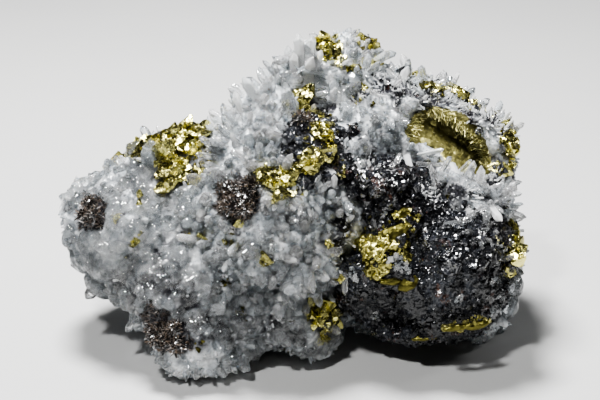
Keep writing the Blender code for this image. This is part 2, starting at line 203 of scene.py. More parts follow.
BASIN_RIM = [  # where the fibres stand close
    ((33, 22.2), (4.8, 1.5), -15), ((39, 19.2), (4.8, 1.6), -38), ((44, 14.6), (4.4, 1.7), -50),
    ((47, 10.2), (1.8, 2.4), 0), ((28.5, 19.5), (1.6, 3.0), -20), ((27, 15.6), (1.6, 2.2), 0),
]
VEIN = [  # where grains of the vein lie on the ore
    ((20.5, -13.8), (6.6, 4.2), 8), ((24, -10.6), (5, 1.6), 12), ((26.5, -4.2), (2.6, 2.4), 20),
]
VEIN_SHEET = [  # where the vein is one crumpled sheet
    ((18.6, -11.6), (5.4, 3.2), 5), ((23.6, -11.6), (5.0, 1.6), 8), ((19.4, -16.6), (4.2, 4.4), 25),
    ((27.0, -14.2), (2.6, 1.6), -45),
]
OLIVE_LENSES = [  # place, turn, (length, width, thickness)
    ((23.8, -8.2), 22, (6.8, 3.6, 2.2)),
    ((26.0, -4.2), 35, (5.4, 4.2, 2.2)),
    ((22.6, -20.4), 4, (5.0, 1.8, 1.8)),
    ((27.0, -21.0), 32, (5.6, 3.0, 1.8)),
    ((25.2, -4.4), 60, (3.4, 2.4, 2.0)),
    ((39.5, -31.8), 10, (7.0, 1.8, 1.8)),
    ((44.5, -31.2), 14, (6.4, 2.0, 1.8)),
    ((31.0, -34.6), 4, (6.0, 1.4, 1.4)),
]
SILVER = [  # milky flakes on the vein
    ((24.4, -16.0), (2.6, 2.2), -20), ((27.0, -17.6), (1.8, 0.8), -20),
]
ORE_QUARTZ = [  # white bits on the ore
    ((21.5, -2.7), (5.2, 0.7), 43), ((24.2, 0.6), (2.6, 0.6), 12), ((19.2, 4.2), (1.4, 1.2), 0),
    ((10.6, 0.4), (1.6, 1.8), 0), ((12.4, -11.4), (1.3, 1.2), 0), ((18.7, -28.6), (1.5, 1.0), 0),
    ((40, -25), (1.0, 1.1), 0), ((48.8, -20.5), (1.2, 1.3), 0), ((48.6, -28.2), (1.6, 1.8), 0),
    ((50, -24.5), (1.0, 1.6), 0), ((13.6, -19), (1.0, 2.2), 20), ((12.2, -30), (1.3, 1.2), 0),
]
ORE_NEEDLES = [((15.5, 8.6), (5.5, 1.4), -8), ((33, 2.5), (3.0, 2.4), 30)]  # fine white needles
ORE_POINTS = [((44, -8.5), (8, 3.2), -20), ((50, -13), (3.5, 4.5), 0)]  # small clear points
ORE_EDGE = [((54.6, -19), (3.2, 16), 0)]  # the quartz selvage at the right
ORE_BRASS = [  # brassy crystals beside it
    ((54.4, -11.0), (1.9, 5.4), -8),
    ((52.0, -17.6), (0.9, 0.9), 0),
    ((51.2, -13.0), (0.7, 0.9), 0),
]
FLAT_ORE = [((22, -26), (9, 4.5), 5), ((37, -22), (8, 5), -10), ((31, -10), (4, 3), 0)]  # bare steps
CLEAVED_ORE = [((19, 0), (11, 9), 0), ((38, -13), (10, 5), -10)]  # where large cleaved blocks stand
QUARTZ_KNOBS = [  # place, turn, (length, width, thickness)
    ((-55.2, -15.2), -62, (7.5, 3.8, 4.5)),
    ((-50.4, -21.2), -50, (9.0, 6.4, 6.0)),
    ((-57.6, -9.0), 80, (6.0, 3.6, 4.5)),
    ((-56.4, -1.0), 60, (6.0, 3.2, 4.5)),
    ((-37.6, 11.0), 80, (8.0, 4.2, 4.5)),
    ((-41.5, 8.0), 70, (6.0, 3.6, 4.0)),
    ((-34.5, 7.5), 100, (6.0, 4.0, 4.0)),
    ((57.4, -13.5), 78, (6.5, 2.2, 3.0)),
    ((53.8, -21.5), 84, (6.0, 3.8, 5.0)),
    ((52.6, -27.0), 66, (6.0, 3.6, 5.0)),
    ((50.0, -32.0), 44, (5.5, 2.8, 4.0)),
]
QUARTZ_FACES = [  # broad pale crystals with smooth faces, in the same terms
    ((1.5, 31.6), -8, (11.0, 4.6, 5.0)),
    ((-1.5, 33.6), 25, (7.0, 4.0, 4.0)),
    ((8.6, 27.0), 82, (8.0, 5.4, 4.0)),
    ((10.8, 21.8), 105, (7.0, 4.8, 4.0)),
    ((13.0, 29.5), 60, (6.0, 4.4, 4.0)),
    ((-20.0, -26.4), 55, (8.0, 5.6, 4.0)),
    ((-7.5, -5.0), 60, (8.4, 5.0, 4.0)),
    ((-27.0, -6.0), 0, (6.4, 4.6, 4.0)),
    ((-0.8, -28.0), 20, (5.0, 4.2, 3.6)),
    ((-9.0, -25.5), -10, (6.0, 4.4, 3.6)),
    ((0.5, -18.6), -70, (8.0, 4.6, 4.0)),
    ((29.0, 29.2), 60, (4.2, 3.4, 3.0)),
    ((28.4, 34.0), 80, (3.6, 3.0, 3.0)),
    ((48.5, 1.0), -30, (6.0, 4.6, 4.0)),
    ((51.0, -3.5), 20, (4.6, 3.8, 3.4)),
]

# Single crystals of quartz: (across, up) of the root, heading round the face and rise out of it
# in degrees, length and thickness.
SINGLE_CRYSTALS = [
    ((-18.5, 19), 98, 10, 5.5, 2.2),  # fan along the upper left edge
    ((-8, 28.5), 128, 5, 4.8, 2.2),
    ((-5.5, 30.5), 108, 5, 4.5, 2.2),
    ((-19.5, 13), 155, 15, 6.5, 2.0),
    ((-20, 10.5), 172, 20, 6.5, 2.0),
    ((-19, 8), 190, 25, 5.5, 2.0),
    ((-17.5, 15.5), 135, 20, 5.0, 1.8),
    ((-14, 18), 118, 30, 5.0, 2.2),
    ((-10, 14), 70, 50, 6.0, 2.4),
    ((-13, 10), 100, 55, 5.5, 2.2),
    ((-10.5, 17), -52, 25, 5.5, 1.5),
    ((-8.5, 15), -60, 30, 5.0, 1.4),
    ((-12, 13), -100, 30, 4.5, 1.8),
    ((-6, 20), 60, 45, 5.0, 2.4),
    ((-4, 11), -130, 45, 4.5, 2.2),
    ((16, 33), 75, 40, 6.0, 3.6),
    ((-0.3, -16.5), -95, 35, 7.0, 3.4),
    ((12.5, 26.5), 50, 45, 5.4, 3.6),
    ((4, 1.5), 40, 30, 5.5, 1.6),
    ((3, 2.5), 60, 35, 5.0, 1.4),
    ((6, -1), 20, 30, 5.0, 1.8),
    ((0.5, -1.5), 120, 45, 4.5, 2.2),
    ((25, 22.5), 5, 50, 4.5, 2.8),
    ((24.5, 20), -15, 50, 4.5, 2.6),
    ((27, 33.5), 82, 20, 3.5, 2.4),
    ((30.5, 9.0), -5, 30, 5.5, 1.4),
    ((24.5, 10), -120, 30, 5.0, 1.8),
    ((33.5, 5.0), 105, 30, 5.0, 1.7),
    ((35.0, 6.5), 62, 35, 6.0, 1.8),
    ((40, 7.0), 48, 40, 5.0, 1.7),
    ((36.5, 4.5), 150, 35, 5.0, 1.9),
    ((42.5, 4), -40, 40, 5.0, 2.0),
    ((46.5, -3), -95, 45, 4.6, 2.2),
    ((43.0, -4.0), -150, 40, 4.0, 2.2),
    ((53, 1.5), 60, 20, 3.5, 2.0),
    ((50, -0.5), 20, 60, 4.6, 3.0),
    ((47, 1.5), 130, 55, 4.2, 2.8),
    ((2.2, -17.5), -80, 35, 7.0, 3.0),
    ((-3.0, -16.0), -120, 35, 6.0, 2.8),
    ((3.5, -24), -125, 25, 5.0, 2.4),
    ((-2.5, -22), -110, 30, 5.0, 2.8),
    ((1.0, -25), -70, 30, 4.0, 1.8),
    ((11.2, -19.8), -90, 30, 4.5, 1.8),
    ((-17, -15), 140, 25, 5.5, 2.4),
    ((-15.5, -17), -62, 25, 5.5, 2.8),
    ((-18.5, -14), -170, 30, 4.0, 2.2),
    ((-9.3, -17.5), -90, 25, 5.0, 3.2),
    ((-6.5, -18.5), -110, 35, 4.5, 2.6),
    ((-5.5, -3), 75, 40, 6.0, 3.4),
    ((-2.5, -5), 20, 40, 5.5, 3.0),
    ((-54, -13), -65, 5, 5.5, 2.8),  # left tip
    ((-52, -14), -85, 10, 5.0, 2.2),
]
MILKY_CRYSTALS = [
    ((-15, 23), 112, 10, 4.5, 2.6),
    ((-11, 26), 125, 15, 6.0, 3.2),
    ((-2.2, 34), 102, 10, 5.0, 3.0),
    ((0, 35), 94, 10, 7.0, 3.4),
    ((2.4, 35), 84, 5, 6.5, 3.2),
    ((-1.0, 32), 100, 25, 5.4, 3.4),
    ((2.0, 31.5), 78, 30, 5.2, 3.6),
    ((4.0, 33), 74, 15, 5.0, 2.6),
    ((8.5, 28), -88, 30, 5.0, 3.4),
    ((8.4, 3.0), 85, 40, 4.2, 2.2),
    ((29.5, 11.2), 12, 30, 7.2, 1.6),
    ((27, 9.5), -75, 30, 5.5, 1.9),
    ((38.5, 7.5), -72, 35, 5.0, 2.0),
    ((48.5, -3), -60, 50, 4.4, 2.8),
    ((26, 30.5), 70, 0, 3.5, 3.0),
]


# ---- node trees ----


class Socket:
    """One output of a node. Python's operators on it add Math nodes to its tree."""

    def __init__(self, graph, socket):
        self.graph, self.socket = graph, socket

    def math(self, operation, *values):
        """A Math node on these values."""
        return self.graph.node("ShaderNodeMath", {"operation": operation}, dict(enumerate(values)))

    def __add__(self, other):
        return self.math("ADD", self, other)

    def __sub__(self, other):
        return self.math("SUBTRACT", self, other)

    def __rsub__(self, other):
        return self.math("SUBTRACT", other, self)

    def __mul__(self, other):
        return self.math("MULTIPLY", self, other)

    def __truediv__(self, other):
        return self.math("DIVIDE", self, other)

    def __rtruediv__(self, other):
        return self.math("DIVIDE", other, self)

    def __pow__(self, other):
        return self.math("POWER", self, other)

    def __lt__(self, other):
        return self.math("LESS_THAN", self, other)

    __radd__, __rmul__ = __add__, __mul__

    def beside(self, name):
        """Another output of the same node."""
        return Socket(self.graph, self.graph.pick(self.socket.node.outputs, name))

    def between(self, low, high):
        """0 where the value is below low, 1 where it is above high, and a smooth step between."""
        settings = {"interpolation_type": "SMOOTHSTEP"}
        sockets = {"Value": self, "From Min": low, "From Max": high}
        return self.graph.node("ShaderNodeMapRange", settings, sockets)


class Graph:
    """A node tree that is built by calls."""

    def __init__(self, tree):
        self.tree = tree

    def node(self, kind, settings=None, sockets=None, output=0):
        """Adds a node: its settings first, then the values or links of its sockets.

        A socket's key is its name, or its number among those that the settings leave in use.
        """
        node = self.tree.nodes.new(kind)
        for name, value in (settings or {}).items():
            setattr(node, name, value)
        for key, value in (sockets or {}).items():
            self.feed(self.pick(node.inputs, key), value)
        return Socket(self, self.pick(node.outputs, output))

    def vector(self, operation, *values, output=0):
        """A Vector Math node on these values."""
        settings = {"operation": operation}
        return self.node("ShaderNodeVectorMath", settings, dict(enumerate(values)), output)

    @staticmethod
    def pick(sockets, key):
        """The socket of this name or number among those in use."""
        in_use = [socket for socket in sockets if socket.enabled]
        return in_use[key] if isinstance(key, int) else next(s for s in in_use if s.name == key)

    def feed(self, socket, value):
        """Links or sets a socket."""
        if isinstance(value, Socket):
            self.tree.links.new(value.socket, socket)
        elif socket.type == "RGBA" and len(value) == 3:
            socket.default_value = (*value, 1)
        else:
            socket.default_value = value


class Finish(Graph):
    """A material with one Principled shader."""

    def __init__(self, name, **constants):
        self.material = bpy.data.materials.new(name)
        self.material.use_nodes = True
        super().__init__(self.material.node_tree)
        self.shader = self.tree.nodes["Principled BSDF"]
        for key, value in constants.items():
            self.set(key.replace("_", " ").title().replace("Ior", "IOR"), value)
        self.places = self.node("ShaderNodeTexCoord", output="Object")

    def set(self, name, value):
        """Feeds one of the shader's own sockets."""
        self.feed(self.shader.inputs[name], value)

    def grain(self, size_mm, detail=2.0, roughness=0.5, distortion=0.0, places=None):
        """Noise whose lumps are about this big."""
        sockets = {
            "Vector": places or self.places,
            "Scale": 1 / (size_mm * MM),
            "Detail": detail,
            "Roughness": roughness,
            "Distortion": distortion,
        }
        return self.node("ShaderNodeTexNoise", None, sockets, "Fac")

    def cells(self, size_mm, output="Distance"):
        """Cells about this big, by the distance from their middles or by another output."""
        sockets = {"Vector": self.places, "Scale": 1 / (size_mm * MM)}
        return self.node("ShaderNodeTexVoronoi", None, sockets, output)

    def facets(self, size_mm):
        """Height of small flat faces, each tilted its own way."""
        cell = self.cells(size_mm, "Color")
        arm = self.vector("SUBTRACT", self.places, cell.beside("Position"))
        tilt = self.vector("SUBTRACT", cell, (0.5, 0.5, 0.5))
        return self.vector("DOT_PRODUCT", arm, tilt, output="Value") * (2 / (size_mm * MM))

    def blend(self, factor, low, high):
        """A colour that goes from low to high with the factor."""
        sockets = {"Factor": factor, "A": low, "B": high}
        return self.node("ShaderNodeMix", {"data_type": "RGBA"}, sockets)

    def attribute(self, name):
        """A number that the mesh keeps for each vertex."""
        return self.node("ShaderNodeAttribute", {"attribute_name": name}, output="Fac")

    def stretched(self, scale, turn):
        """The object's places, squeezed and turned for a streaky pattern."""
        turned = self.node("ShaderNodeMapping", None, {"Vector": self.places, "Rotation": turn})
        return self.node("ShaderNodeMapping", None, {"Vector": turned, "Scale": scale})

    def bump(self, *layers):
        """Bump from (height, strength, depth in mm), the first layer lowest."""
        normal = None
        for height, strength, depth_mm in layers:
            sockets = {"Height": height, "Strength": strength, "Distance": depth_mm * MM}
            if normal:
                sockets["Normal"] = normal
            normal = self.node("ShaderNodeBump", None, sockets)
        self.set("Normal", normal)


# ---- finishes ----


def quartz(name, transmission, grey, white, gloss, uneven):
    """Quartz crystals, each with its own share of haze. Their faces are uneven by a share."""
    finish = Finish(name, transmission_weight=transmission, ior=1.55)
    tone = finish.attribute("tone")
    haze = finish.grain(1.6, 3, 0.6)
    drift = finish.grain(9, 3)
    cloud = (tone * 0.8 + haze * 0.3 + drift * 0.3).between(0.3, 1.0)
    finish.set("Base Color", finish.blend(cloud, grey, white))
    finish.set("Roughness", (haze * tone).between(0.15, 0.7) * 0.1 + gloss)
    finish.bump((finish.facets(1.1), 0.6, 0.30 * uneven), (finish.facets(0.45), 0.5, 0.08 * uneven))
    return finish.material


def quartz_matrix():
    """Milky quartz under the crystals, dark where the ore shows through, and with painted shade between
    brassy grains and on shadowed lower parts.
    """
    finish = Finish("quartz matrix", ior=1.55, subsurface_weight=0.5)
    finish.set("Subsurface Radius", (1.5, 1.6, 1.7))
    finish.set("Subsurface Scale", 0.001)
    drift = finish.grain(5, 4, 0.6)
    colour = finish.blend(drift.between(0.35, 0.65), (0.44, 0.475, 0.50), (0.93, 0.945, 0.955))
    dark = finish.attribute("shade")
    # blends toward near black by the shade attribute: real ore showing through, and painted shade
    finish.set("Base Color", finish.blend(dark, colour, (0.022, 0.022, 0.026)))
    finish.set("Roughness", finish.grain(1.2).between(0.3, 0.7) * 0.35 + 0.06)
    finish.bump((finish.facets(1.3), 0.8, 0.5), (finish.facets(0.5), 0.7, 0.2))
    return finish.material


def sphalerite(name, ior, steel_colour, gloss, depth):
    """Near-black ore: smooth cleavage here, finely sparkling grain there, stained red brown."""
    finish = Finish(name, ior=ior)
    spots = finish.grain(0.9, 3).between(0.4, 0.6)
    stain = finish.grain(5, 4, 0.65, 1.0).between(0.56, 0.68) * spots
    sparkling = finish.grain(11, 3, 0.6, 0.5).between(0.46, 0.58)
    steel = finish.grain(3, 4, 0.7).between(0.35, 0.7) * (sparkling + 0.15)
    colour = finish.blend(steel, (0.003, 0.003, 0.004), steel_colour)
    finish.set("Base Color", finish.blend(stain, colour, (0.050, 0.017, 0.008)))
    finish.set("Roughness", finish.grain(0.9, 3).between(0.35, 0.7) * 0.3 + gloss)
    fine = sparkling * 0.85 + 0.15
    finish.bump((finish.facets(2.2), 0.8, 0.6 * depth), (finish.facets(0.5) * fine, 0.9, 0.4 * depth))
    return finish.material


def brown_sphalerite():
    """Brown-black ore made of tiny glinting needles."""
    finish = Finish("brown sphalerite", ior=2.0)
    tone = finish.attribute("tone")
    mix = (tone * 0.8 + finish.grain(1.5, 3) * 0.5).between(0.45, 1.0)
    finish.set("Base Color", finish.blend(mix, (0.008, 0.006, 0.005), (0.095, 0.062, 0.038)))
    finish.set("Roughness", tone * 0.3 + 0.12)
    finish.bump((finish.cells(0.4), 0.4, 0.10))
    return finish.material


PALER = 1.19  # how much paler than the fresh colour the brightest faces are
PAINTED_HOLLOW_SHADE = 0.25  # how dark the painted shade in the deepest hollows is, as a share of the tarnished colour


def chalcopyrite(name, fresh, tarnished, share, dull, rough):
    """Brassy yellow metal, striped by growth steps and dulled by tarnish over a share of it, with
    painted shade in hollows where its deep attribute is set.
    """
    finish = Finish(name, metallic=1.0)
    tone = finish.attribute("tone")
    tarnish = (finish.grain(2.6, 4, 0.6) * 0.8 + tone * 0.5).between(1.0 - share, 1.4 - share)
    pale = [min(1, PALER * channel) for channel in fresh]
    bright = finish.blend(finish.grain(1.1, 2).between(0.3, 0.7), fresh, pale)
    colour = finish.blend(tarnish, bright, tarnished)
    # painted shade in hollows, by the deep attribute
    deep = [PAINTED_HOLLOW_SHADE * channel for channel in tarnished]
    finish.set("Base Color", finish.blend(finish.attribute("deep"), colour, deep))
    finish.set("Roughness", finish.grain(0.7, 3).between(0.3, 0.7) * 0.2 + dull)
    streaks = finish.stretched(scale=(1, 0.12, 1), turn=(0.5, 0.9, 0.3))
    lines = finish.grain(0.3, 1, places=streaks)
    facets = finish.facets(1.4)
    grain = finish.grain(1.2, 3)
    finish.bump((facets, rough, 0.55), (grain, rough, 0.3), (lines, 0.5 * rough, 0.12))
    return finish.material


def floor_finish():
    """Plain light grey, very softly clouded."""
    finish = Finish("floor", roughness=0.65)
    colour = finish.blend(finish.grain(60, 2), (0.43, 0.43, 0.43), (0.46, 0.46, 0.45))
    finish.set("Base Color", colour)
    return finish.material


# ---- meshes ----


def mesh_object(name, vertices, faces):
    """A new object with these corners and faces, not shown yet."""
    mesh = bpy.data.meshes.new(name)
    mesh.from_pydata(vertices, [], faces)
    return bpy.data.objects.new(name, mesh)


def object_from(bm, name):
    """A new object with what was edited as its mesh, not shown yet."""
    mesh = bpy.data.meshes.new(name)
    bm.to_mesh(mesh)
    bm.free()
    return bpy.data.objects.new(name, mesh)


@contextmanager
def edited(mesh):
    """A mesh opened for editing, and written back."""
    bm = bmesh.new()
    bm.from_mesh(mesh)
    yield bm
    bm.to_mesh(mesh)
    bm.free()


def shown(obj):
    """The object, linked to the scene."""
    if not obj.users_collection:
        bpy.context.scene.collection.objects.link(obj)
    return obj


def drop(obj):
    """Takes an object out of the file."""
    bpy.data.objects.remove(obj)


def finished_in(obj, finish):
    """The object with this finish on every face."""
    obj.data.materials.clear()
    obj.data.materials.append(finish)
    return obj


def applied(obj, name=None):
    """The object with its modifiers made part of its mesh."""
    bpy.context.view_layer.update()
    graph = bpy.context.evaluated_depsgraph_get()
    mesh = bpy.data.meshes.new_from_object(obj.evaluated_get(graph))
    obj.modifiers.clear()
    obj.data = mesh
    if name:
        obj.name = mesh.name = name
    return obj


def copy_of(node, name):
    """A closed copy of a CAD node, its loose triangles joined."""
    bm = bmesh.new()
    bm.from_mesh(NODES[node].data)
    bmesh.ops.remove_doubles(bm, verts=bm.verts, dist=1e-6)
    return shown(object_from(bm, name))


def surface_of(*objects):
    """The objects' faces together, to be looked up by ray or by distance."""
    bm = bmesh.new()
    for obj in objects:
        bm.from_mesh(obj.data)
    tree = BVHTree.FromBMesh(bm)
    bm.free()
    return tree


def places_of(obj):
    """The vertices of an object as rows of a table."""
    flat = np.empty(len(obj.data.vertices) * 3, np.float32)
    obj.data.vertices.foreach_get("co", flat)
    return flat.reshape(-1, 3).astype(float)


def normals_of(obj):
    """The directions of its vertices, as rows of a table."""
    flat = np.empty(len(obj.data.vertices) * 3, np.float32)
    obj.data.vertex_normals.foreach_get("vector", flat)
    return flat.reshape(-1, 3).astype(float)


def move_to(obj, places):
    """Puts the vertices of an object at these places."""
    obj.data.vertices.foreach_set("co", places.astype(np.float32).ravel())
    obj.data.update()


def store(obj, name, values):
    """Keeps a number or a direction for each vertex, for Geometry Nodes and finishes to read.

    It takes the place of what was kept under the same name.
    """
    if name in obj.data.attributes:
        obj.data.attributes.remove(obj.data.attributes[name])
    values = np.asarray(values, np.float32)
    kind, field = ("FLOAT", "value") if values.ndim == 1 else ("FLOAT_VECTOR", "vector")
    layer = obj.data.attributes.new(name, kind, "POINT")
    layer.data.foreach_set(field, values.ravel())


def nearest_of(points):
    """A function that gives the number of the point nearest to a place."""
    tree = kdtree.KDTree(len(points))
    for k, point in enumerate(points):
        tree.insert(point, k)
    tree.balance()
    return lambda place: tree.find(place)[1]


def wandering(places, spacing_mm):
    """A direction at each place that wanders smoothly, over about this distance."""
    return np.array([noise.noise_vector(Vector(p) / (spacing_mm * MM)) for p in places])


def random_direction(rng):
    """A direction drawn evenly from all round."""
    return Vector([rng.gauss(0, 1) for _ in range(3)]).normalized()


def on_face(places):
    """(across, up, out) of world places, seen in perspective from in front of the display face."""
    back = np.array(FACE.inverted())
    local = places @ back[:3, :3].T + back[:3, 3]
    spread = SIGHT / (SIGHT - local[:, 2])
    return np.column_stack((local[:, 0] * spread, local[:, 1] * spread, local[:, 2]))


def patch(face_places, ellipses, soft=0.35):
    """1 inside any of the ellipses ((across, up), (radius across, radius up), turn), 0 outside."""
    mask = np.zeros(len(face_places))
    for (across, up), (wide, high), turn in ellipses:
        du, dv = face_places[:, 0] - across, face_places[:, 1] - up
        c, s = math.cos(math.radians(turn)), math.sin(math.radians(turn))
        away = np.hypot((du * c + dv * s) / wide, (dv * c - du * s) / high)
        mask = np.maximum(mask, np.clip((1 + soft - away) / (2 * soft), 0, 1))
    return mask * mask * (3 - 2 * mask)


def seen_at(surface, across, up):
    """The point of a surface that is seen at a place on the face.

    Where the line of sight passes by, that is the point that it passes closest to.
    """
    eye = FACE @ Vector((0, 0, SIGHT))
    aim = FACE @ Vector((across, up, 0)) - eye
    point, _, _, _ = surface.ray_cast(eye, aim)
    if point is None:
        passed = [surface.find_nearest(eye + aim * (0.88 + 0.01 * step)) for step in range(24)]
        point, _, _, _ = min(passed, key=lambda hit: hit[3])
    return point


def toward(turn, rise):
    """A direction that points round the face by turn and out of it by rise, in degrees."""
    turn, rise = math.radians(turn), math.radians(rise)
    flat = Vector((math.cos(turn) * math.cos(rise), math.sin(turn) * math.cos(rise), math.sin(rise)))
    return (FACE.to_3x3() @ flat).normalized()


def gap_to(places, surface):
    """How far each place is from a closed surface in millimetres, negative inside it."""
    gaps = np.full(len(places), LOST_MM)
    for k, place in enumerate(places):
        hit, normal, _, distance = surface.find_nearest(place, LOST_MM * MM)
        if hit is not None:
            inside = (Vector(place) - hit).dot(normal) < 0
            gaps[k] = (-distance if inside else distance) / MM
    return gaps


def skinned(obj, cell_mm, smooth, inset_mm, relief, last_cell_mm):
    """One even skin, softened, drawn in, skinned again and roughened by (kind, spacing, height).

    Where both skins have cells of one size, the second is softened and drawn in as well.
    """
    for step in (cell_mm, last_cell_mm):
        skin = obj.modifiers.new("skin", "REMESH")
        skin.mode = "VOXEL"
        skin.voxel_size = step * MM
        if step == cell_mm:
            soften = obj.modifiers.new("soften", "SMOOTH")
            soften.iterations = smooth
            inset = obj.modifiers.new("inset", "DISPLACE")
            inset.strength, inset.mid_level = -inset_mm * MM, 0
    for kind, spacing, height in relief:
        texture = bpy.data.textures.new(f"{kind} {spacing}", kind)
        texture.noise_scale = spacing * MM
        rough = obj.modifiers.new(f"relief {spacing}", "DISPLACE")
        rough.texture, rough.strength = texture, height * MM
    return applied(obj)


def fused(piece, finish, cell_mm, smooth):
    """Crystals grown together: one closed skin round them all, their tones kept."""
    tones = np.empty(len(piece.data.vertices), np.float32)
    piece.data.attributes["tone"].data.foreach_get("value", tones)
    nearest = nearest_of([vert.co for vert in piece.data.vertices])
    skin = piece.modifiers.new("skin", "REMESH")
    skin.mode, skin.voxel_size, skin.use_smooth_shade = "VOXEL", cell_mm * MM, True
    piece.modifiers.new("soften", "SMOOTH").iterations = smooth
    applied(piece)
    store(piece, "tone", [tones[nearest(vert.co)] for vert in piece.data.vertices])
    piece.data.polygons.foreach_set("material_index", [0] * len(piece.data.polygons))
    return finished_in(piece, finish)


def slice_of(obj, name, low, high):
    """A copy of the faces whose middles lie between two places across, attributes kept."""
    part = bpy.data.objects.new(name, obj.data.copy())
    with edited(part.data) as bm:
        cut = [face for face in bm.faces if not low <= face.calc_center_median().x < high]
        bmesh.ops.delete(bm, geom=cut, context="FACES")
    return shown(part)


# ---- sheets seen on the face ----


def bowl(across, up):
    """How far out the floor of the basin lies at places on the face."""
    du, dv = across - BASIN_MIDDLE[0], up - BASIN_MIDDLE[1]
    c, s = math.cos(math.radians(BASIN_TURN)), math.sin(math.radians(BASIN_TURN))
    along, side = du * c + dv * s, dv * c - du * s
    return np.interp(side, *zip(*BASIN_PROFILE)) + 0.012 * along**2


def at_depth(across, up, out):
    """World places that are seen at (across, up) on the face, and lie this far out of it."""
    spread = (SIGHT - out) / SIGHT
    local = np.column_stack((across * spread, up * spread, out))
    face = np.array(FACE)
    return local @ face[:3, :3].T + face[:3, 3]


def dented(places):
    """Places of the rock, drawn in under the floor of the basin."""
    seen = on_face(places)
    inside = patch(seen, BASIN, 0.3) * (seen[:, 2] > BASIN_BACK_MM)
    floor = bowl(seen[:, 0], seen[:, 1]) - BASIN_CLEARANCE_MM
    out = seen[:, 2] - inside * np.maximum(seen[:, 2] - floor, 0)
    return at_depth(seen[:, 0], seen[:, 1], out)


def sheet_of(name, finish, spans, step_mm, outline, depth, crumples, darkest=0):
    """A closed crumpled sheet seen on the face, sunk into the rock round its edge.

    depth(across, up) is how far out it lies, and the crumples are the heights of its swells,
    grain and ridges in millimetres. Painted shade darkens its valleys by the share darkest.
    """
    steps = [np.arange(low, high, step_mm) for low, high in spans]
    across, up = (grid.ravel() for grid in np.meshgrid(*steps))
    flat = list(zip(across, up))
    rough = np.array([noise.noise_vector(Vector((u, v, 0)) / 3) for u, v in flat])
    fine = np.array([noise.noise(Vector((u, v, 0)) / 0.9) for u, v in flat])
    bent = [Vector((u / 1.9, v / 0.8 + 0.5 * n, 7)) for (u, v), n in zip(flat, fine)]
    ridges = 1 - 4 * np.abs([noise.noise(place) for place in bent])
    ragged = np.column_stack((across + 1.3 * rough[:, 0], up + 1.3 * rough[:, 1]))
    edge = patch(ragged, outline, 0.25)
    out = depth(across, up) - SHEET_SUNK_MM * (1 - edge)
    for height, shape in zip(crumples, (rough[:, 2], fine, ridges)):
        out += height * shape
    columns = len(steps[0])
    faces = [
        (k, k + 1, k + columns + 1, k + columns)
        for k in range(len(across) - columns)
        if (k + 1) % columns and edge[[k, k + 1, k + columns, k + columns + 1]].min() > 0.1
    ]
    sheet = shown(mesh_object(name, at_depth(across, up, out), faces))
    with edited(sheet.data) as bm:
        unused = [vert for vert in bm.verts if not vert.link_faces]
        bmesh.ops.delete(bm, geom=unused, context="VERTS")
    if darkest:
        # painted shade in the valleys of the crumples
        relief = crumples[1] * fine + crumples[2] * ridges
        used = sorted({k for face in faces for k in face})
        valley = np.clip(0.45 - relief / (crumples[1] + crumples[2]), 0, 1)
        store(sheet, "deep", darkest * valley[used])
    wall = sheet.modifiers.new("wall", "SOLIDIFY")
    wall.thickness, wall.offset = SHEET_WALL_MM * MM, -1
    applied(sheet)
    for polygon in sheet.data.polygons:
        polygon.use_smooth = True
    return finished_in(sheet, finish)


def basin_shell(name, finish):
    """The basin's floor, with the directions and the cover that its fibres need."""
    crumples = (0.9, 0.25, 0)
    sheet = sheet_of(name, finish, BASIN_SPANS, BASIN_STEP_MM, BASIN, bowl, crumples)
    places = places_of(sheet)
    seen = on_face(places)
    inward = np.array(FACE @ Vector(BASIN_AIM)) - places
    dark, rim = patch(seen, BASIN_PAINTED_SHADE, 0.7), patch(seen, BASIN_RIM, 0.3)
    # painted shade under the upper rim
    store(sheet, "deep", dark * 0.9)
    store(sheet, "cover", np.maximum(rim, 0.04 + 0.08 * dark))
    store(sheet, "grow", 0.45 + 0.45 * rim)
    store(sheet, "heading", 1.6 * inward / np.linalg.norm(inward, axis=1)[:, None])
    return sheet


# ---- crystal shapes, all about 1 thick, the long ones rooted at the origin along +Z ----


def bevelled(bm, width):
    """Cuts every edge off to one flat strip."""
    bmesh.ops.bevel(bm, geom=bm.edges, offset=width, segments=1, affect="EDGES", profile=0.5)


def quartz_shape(name, aspect, tip, rng, bevel=0.0):
    """A six-sided prism with uneven sides, closed by a tip of six faces."""
    turns = [k * math.tau / 6 + rng.uniform(-0.12, 0.12) for k in range(6)]
    radii = [0.5 * (1 - 0.16 * (k % 2)) * rng.uniform(0.88, 1.08) for k in range(6)]
    lift = [aspect - tip * (1 + 0.2 * (-1) ** k + rng.uniform(-0.1, 0.1)) for k in range(6)]
    ring = [(r * math.cos(t), r * math.sin(t)) for r, t in zip(radii, turns)]
    apex = (rng.uniform(-0.1, 0.1), rng.uniform(-0.1, 0.1), aspect)
    vertices = [(x, y, -0.5) for x, y in ring]
    vertices += [(0.9 * x, 0.9 * y, z) for (x, y), z in zip(ring, lift)] + [apex]
    faces = [(k, (k + 1) % 6, 6 + (k + 1) % 6, 6 + k) for k in range(6)]
    faces += [(6 + k, 6 + (k + 1) % 6, 12) for k in range(6)] + [(5, 4, 3, 2, 1, 0)]
    crystal = mesh_object(name, vertices, faces)
    if bevel:
        with edited(crystal.data) as bm:
            bevelled(bm, bevel)
    return crystal


def hull_shape(name, points, bevel=0.0):
    """The convex solid round some points."""
    bm = bmesh.new()
    for point in points:
        bm.verts.new(point)
    found = bmesh.ops.convex_hull(bm, input=bm.verts)
    spare = found["geom_interior"] + found["geom_unused"]
    loose = {item for item in spare if isinstance(item, bmesh.types.BMVert)}
    bmesh.ops.delete(bm, geom=list(loose), context="VERTS")
    bmesh.ops.dissolve_limit(bm, angle_limit=0.02, verts=bm.verts, edges=bm.edges)
    bmesh.ops.recalc_face_normals(bm, faces=bm.faces)
    if bevel:
        bevelled(bm, bevel)
    return object_from(bm, name)


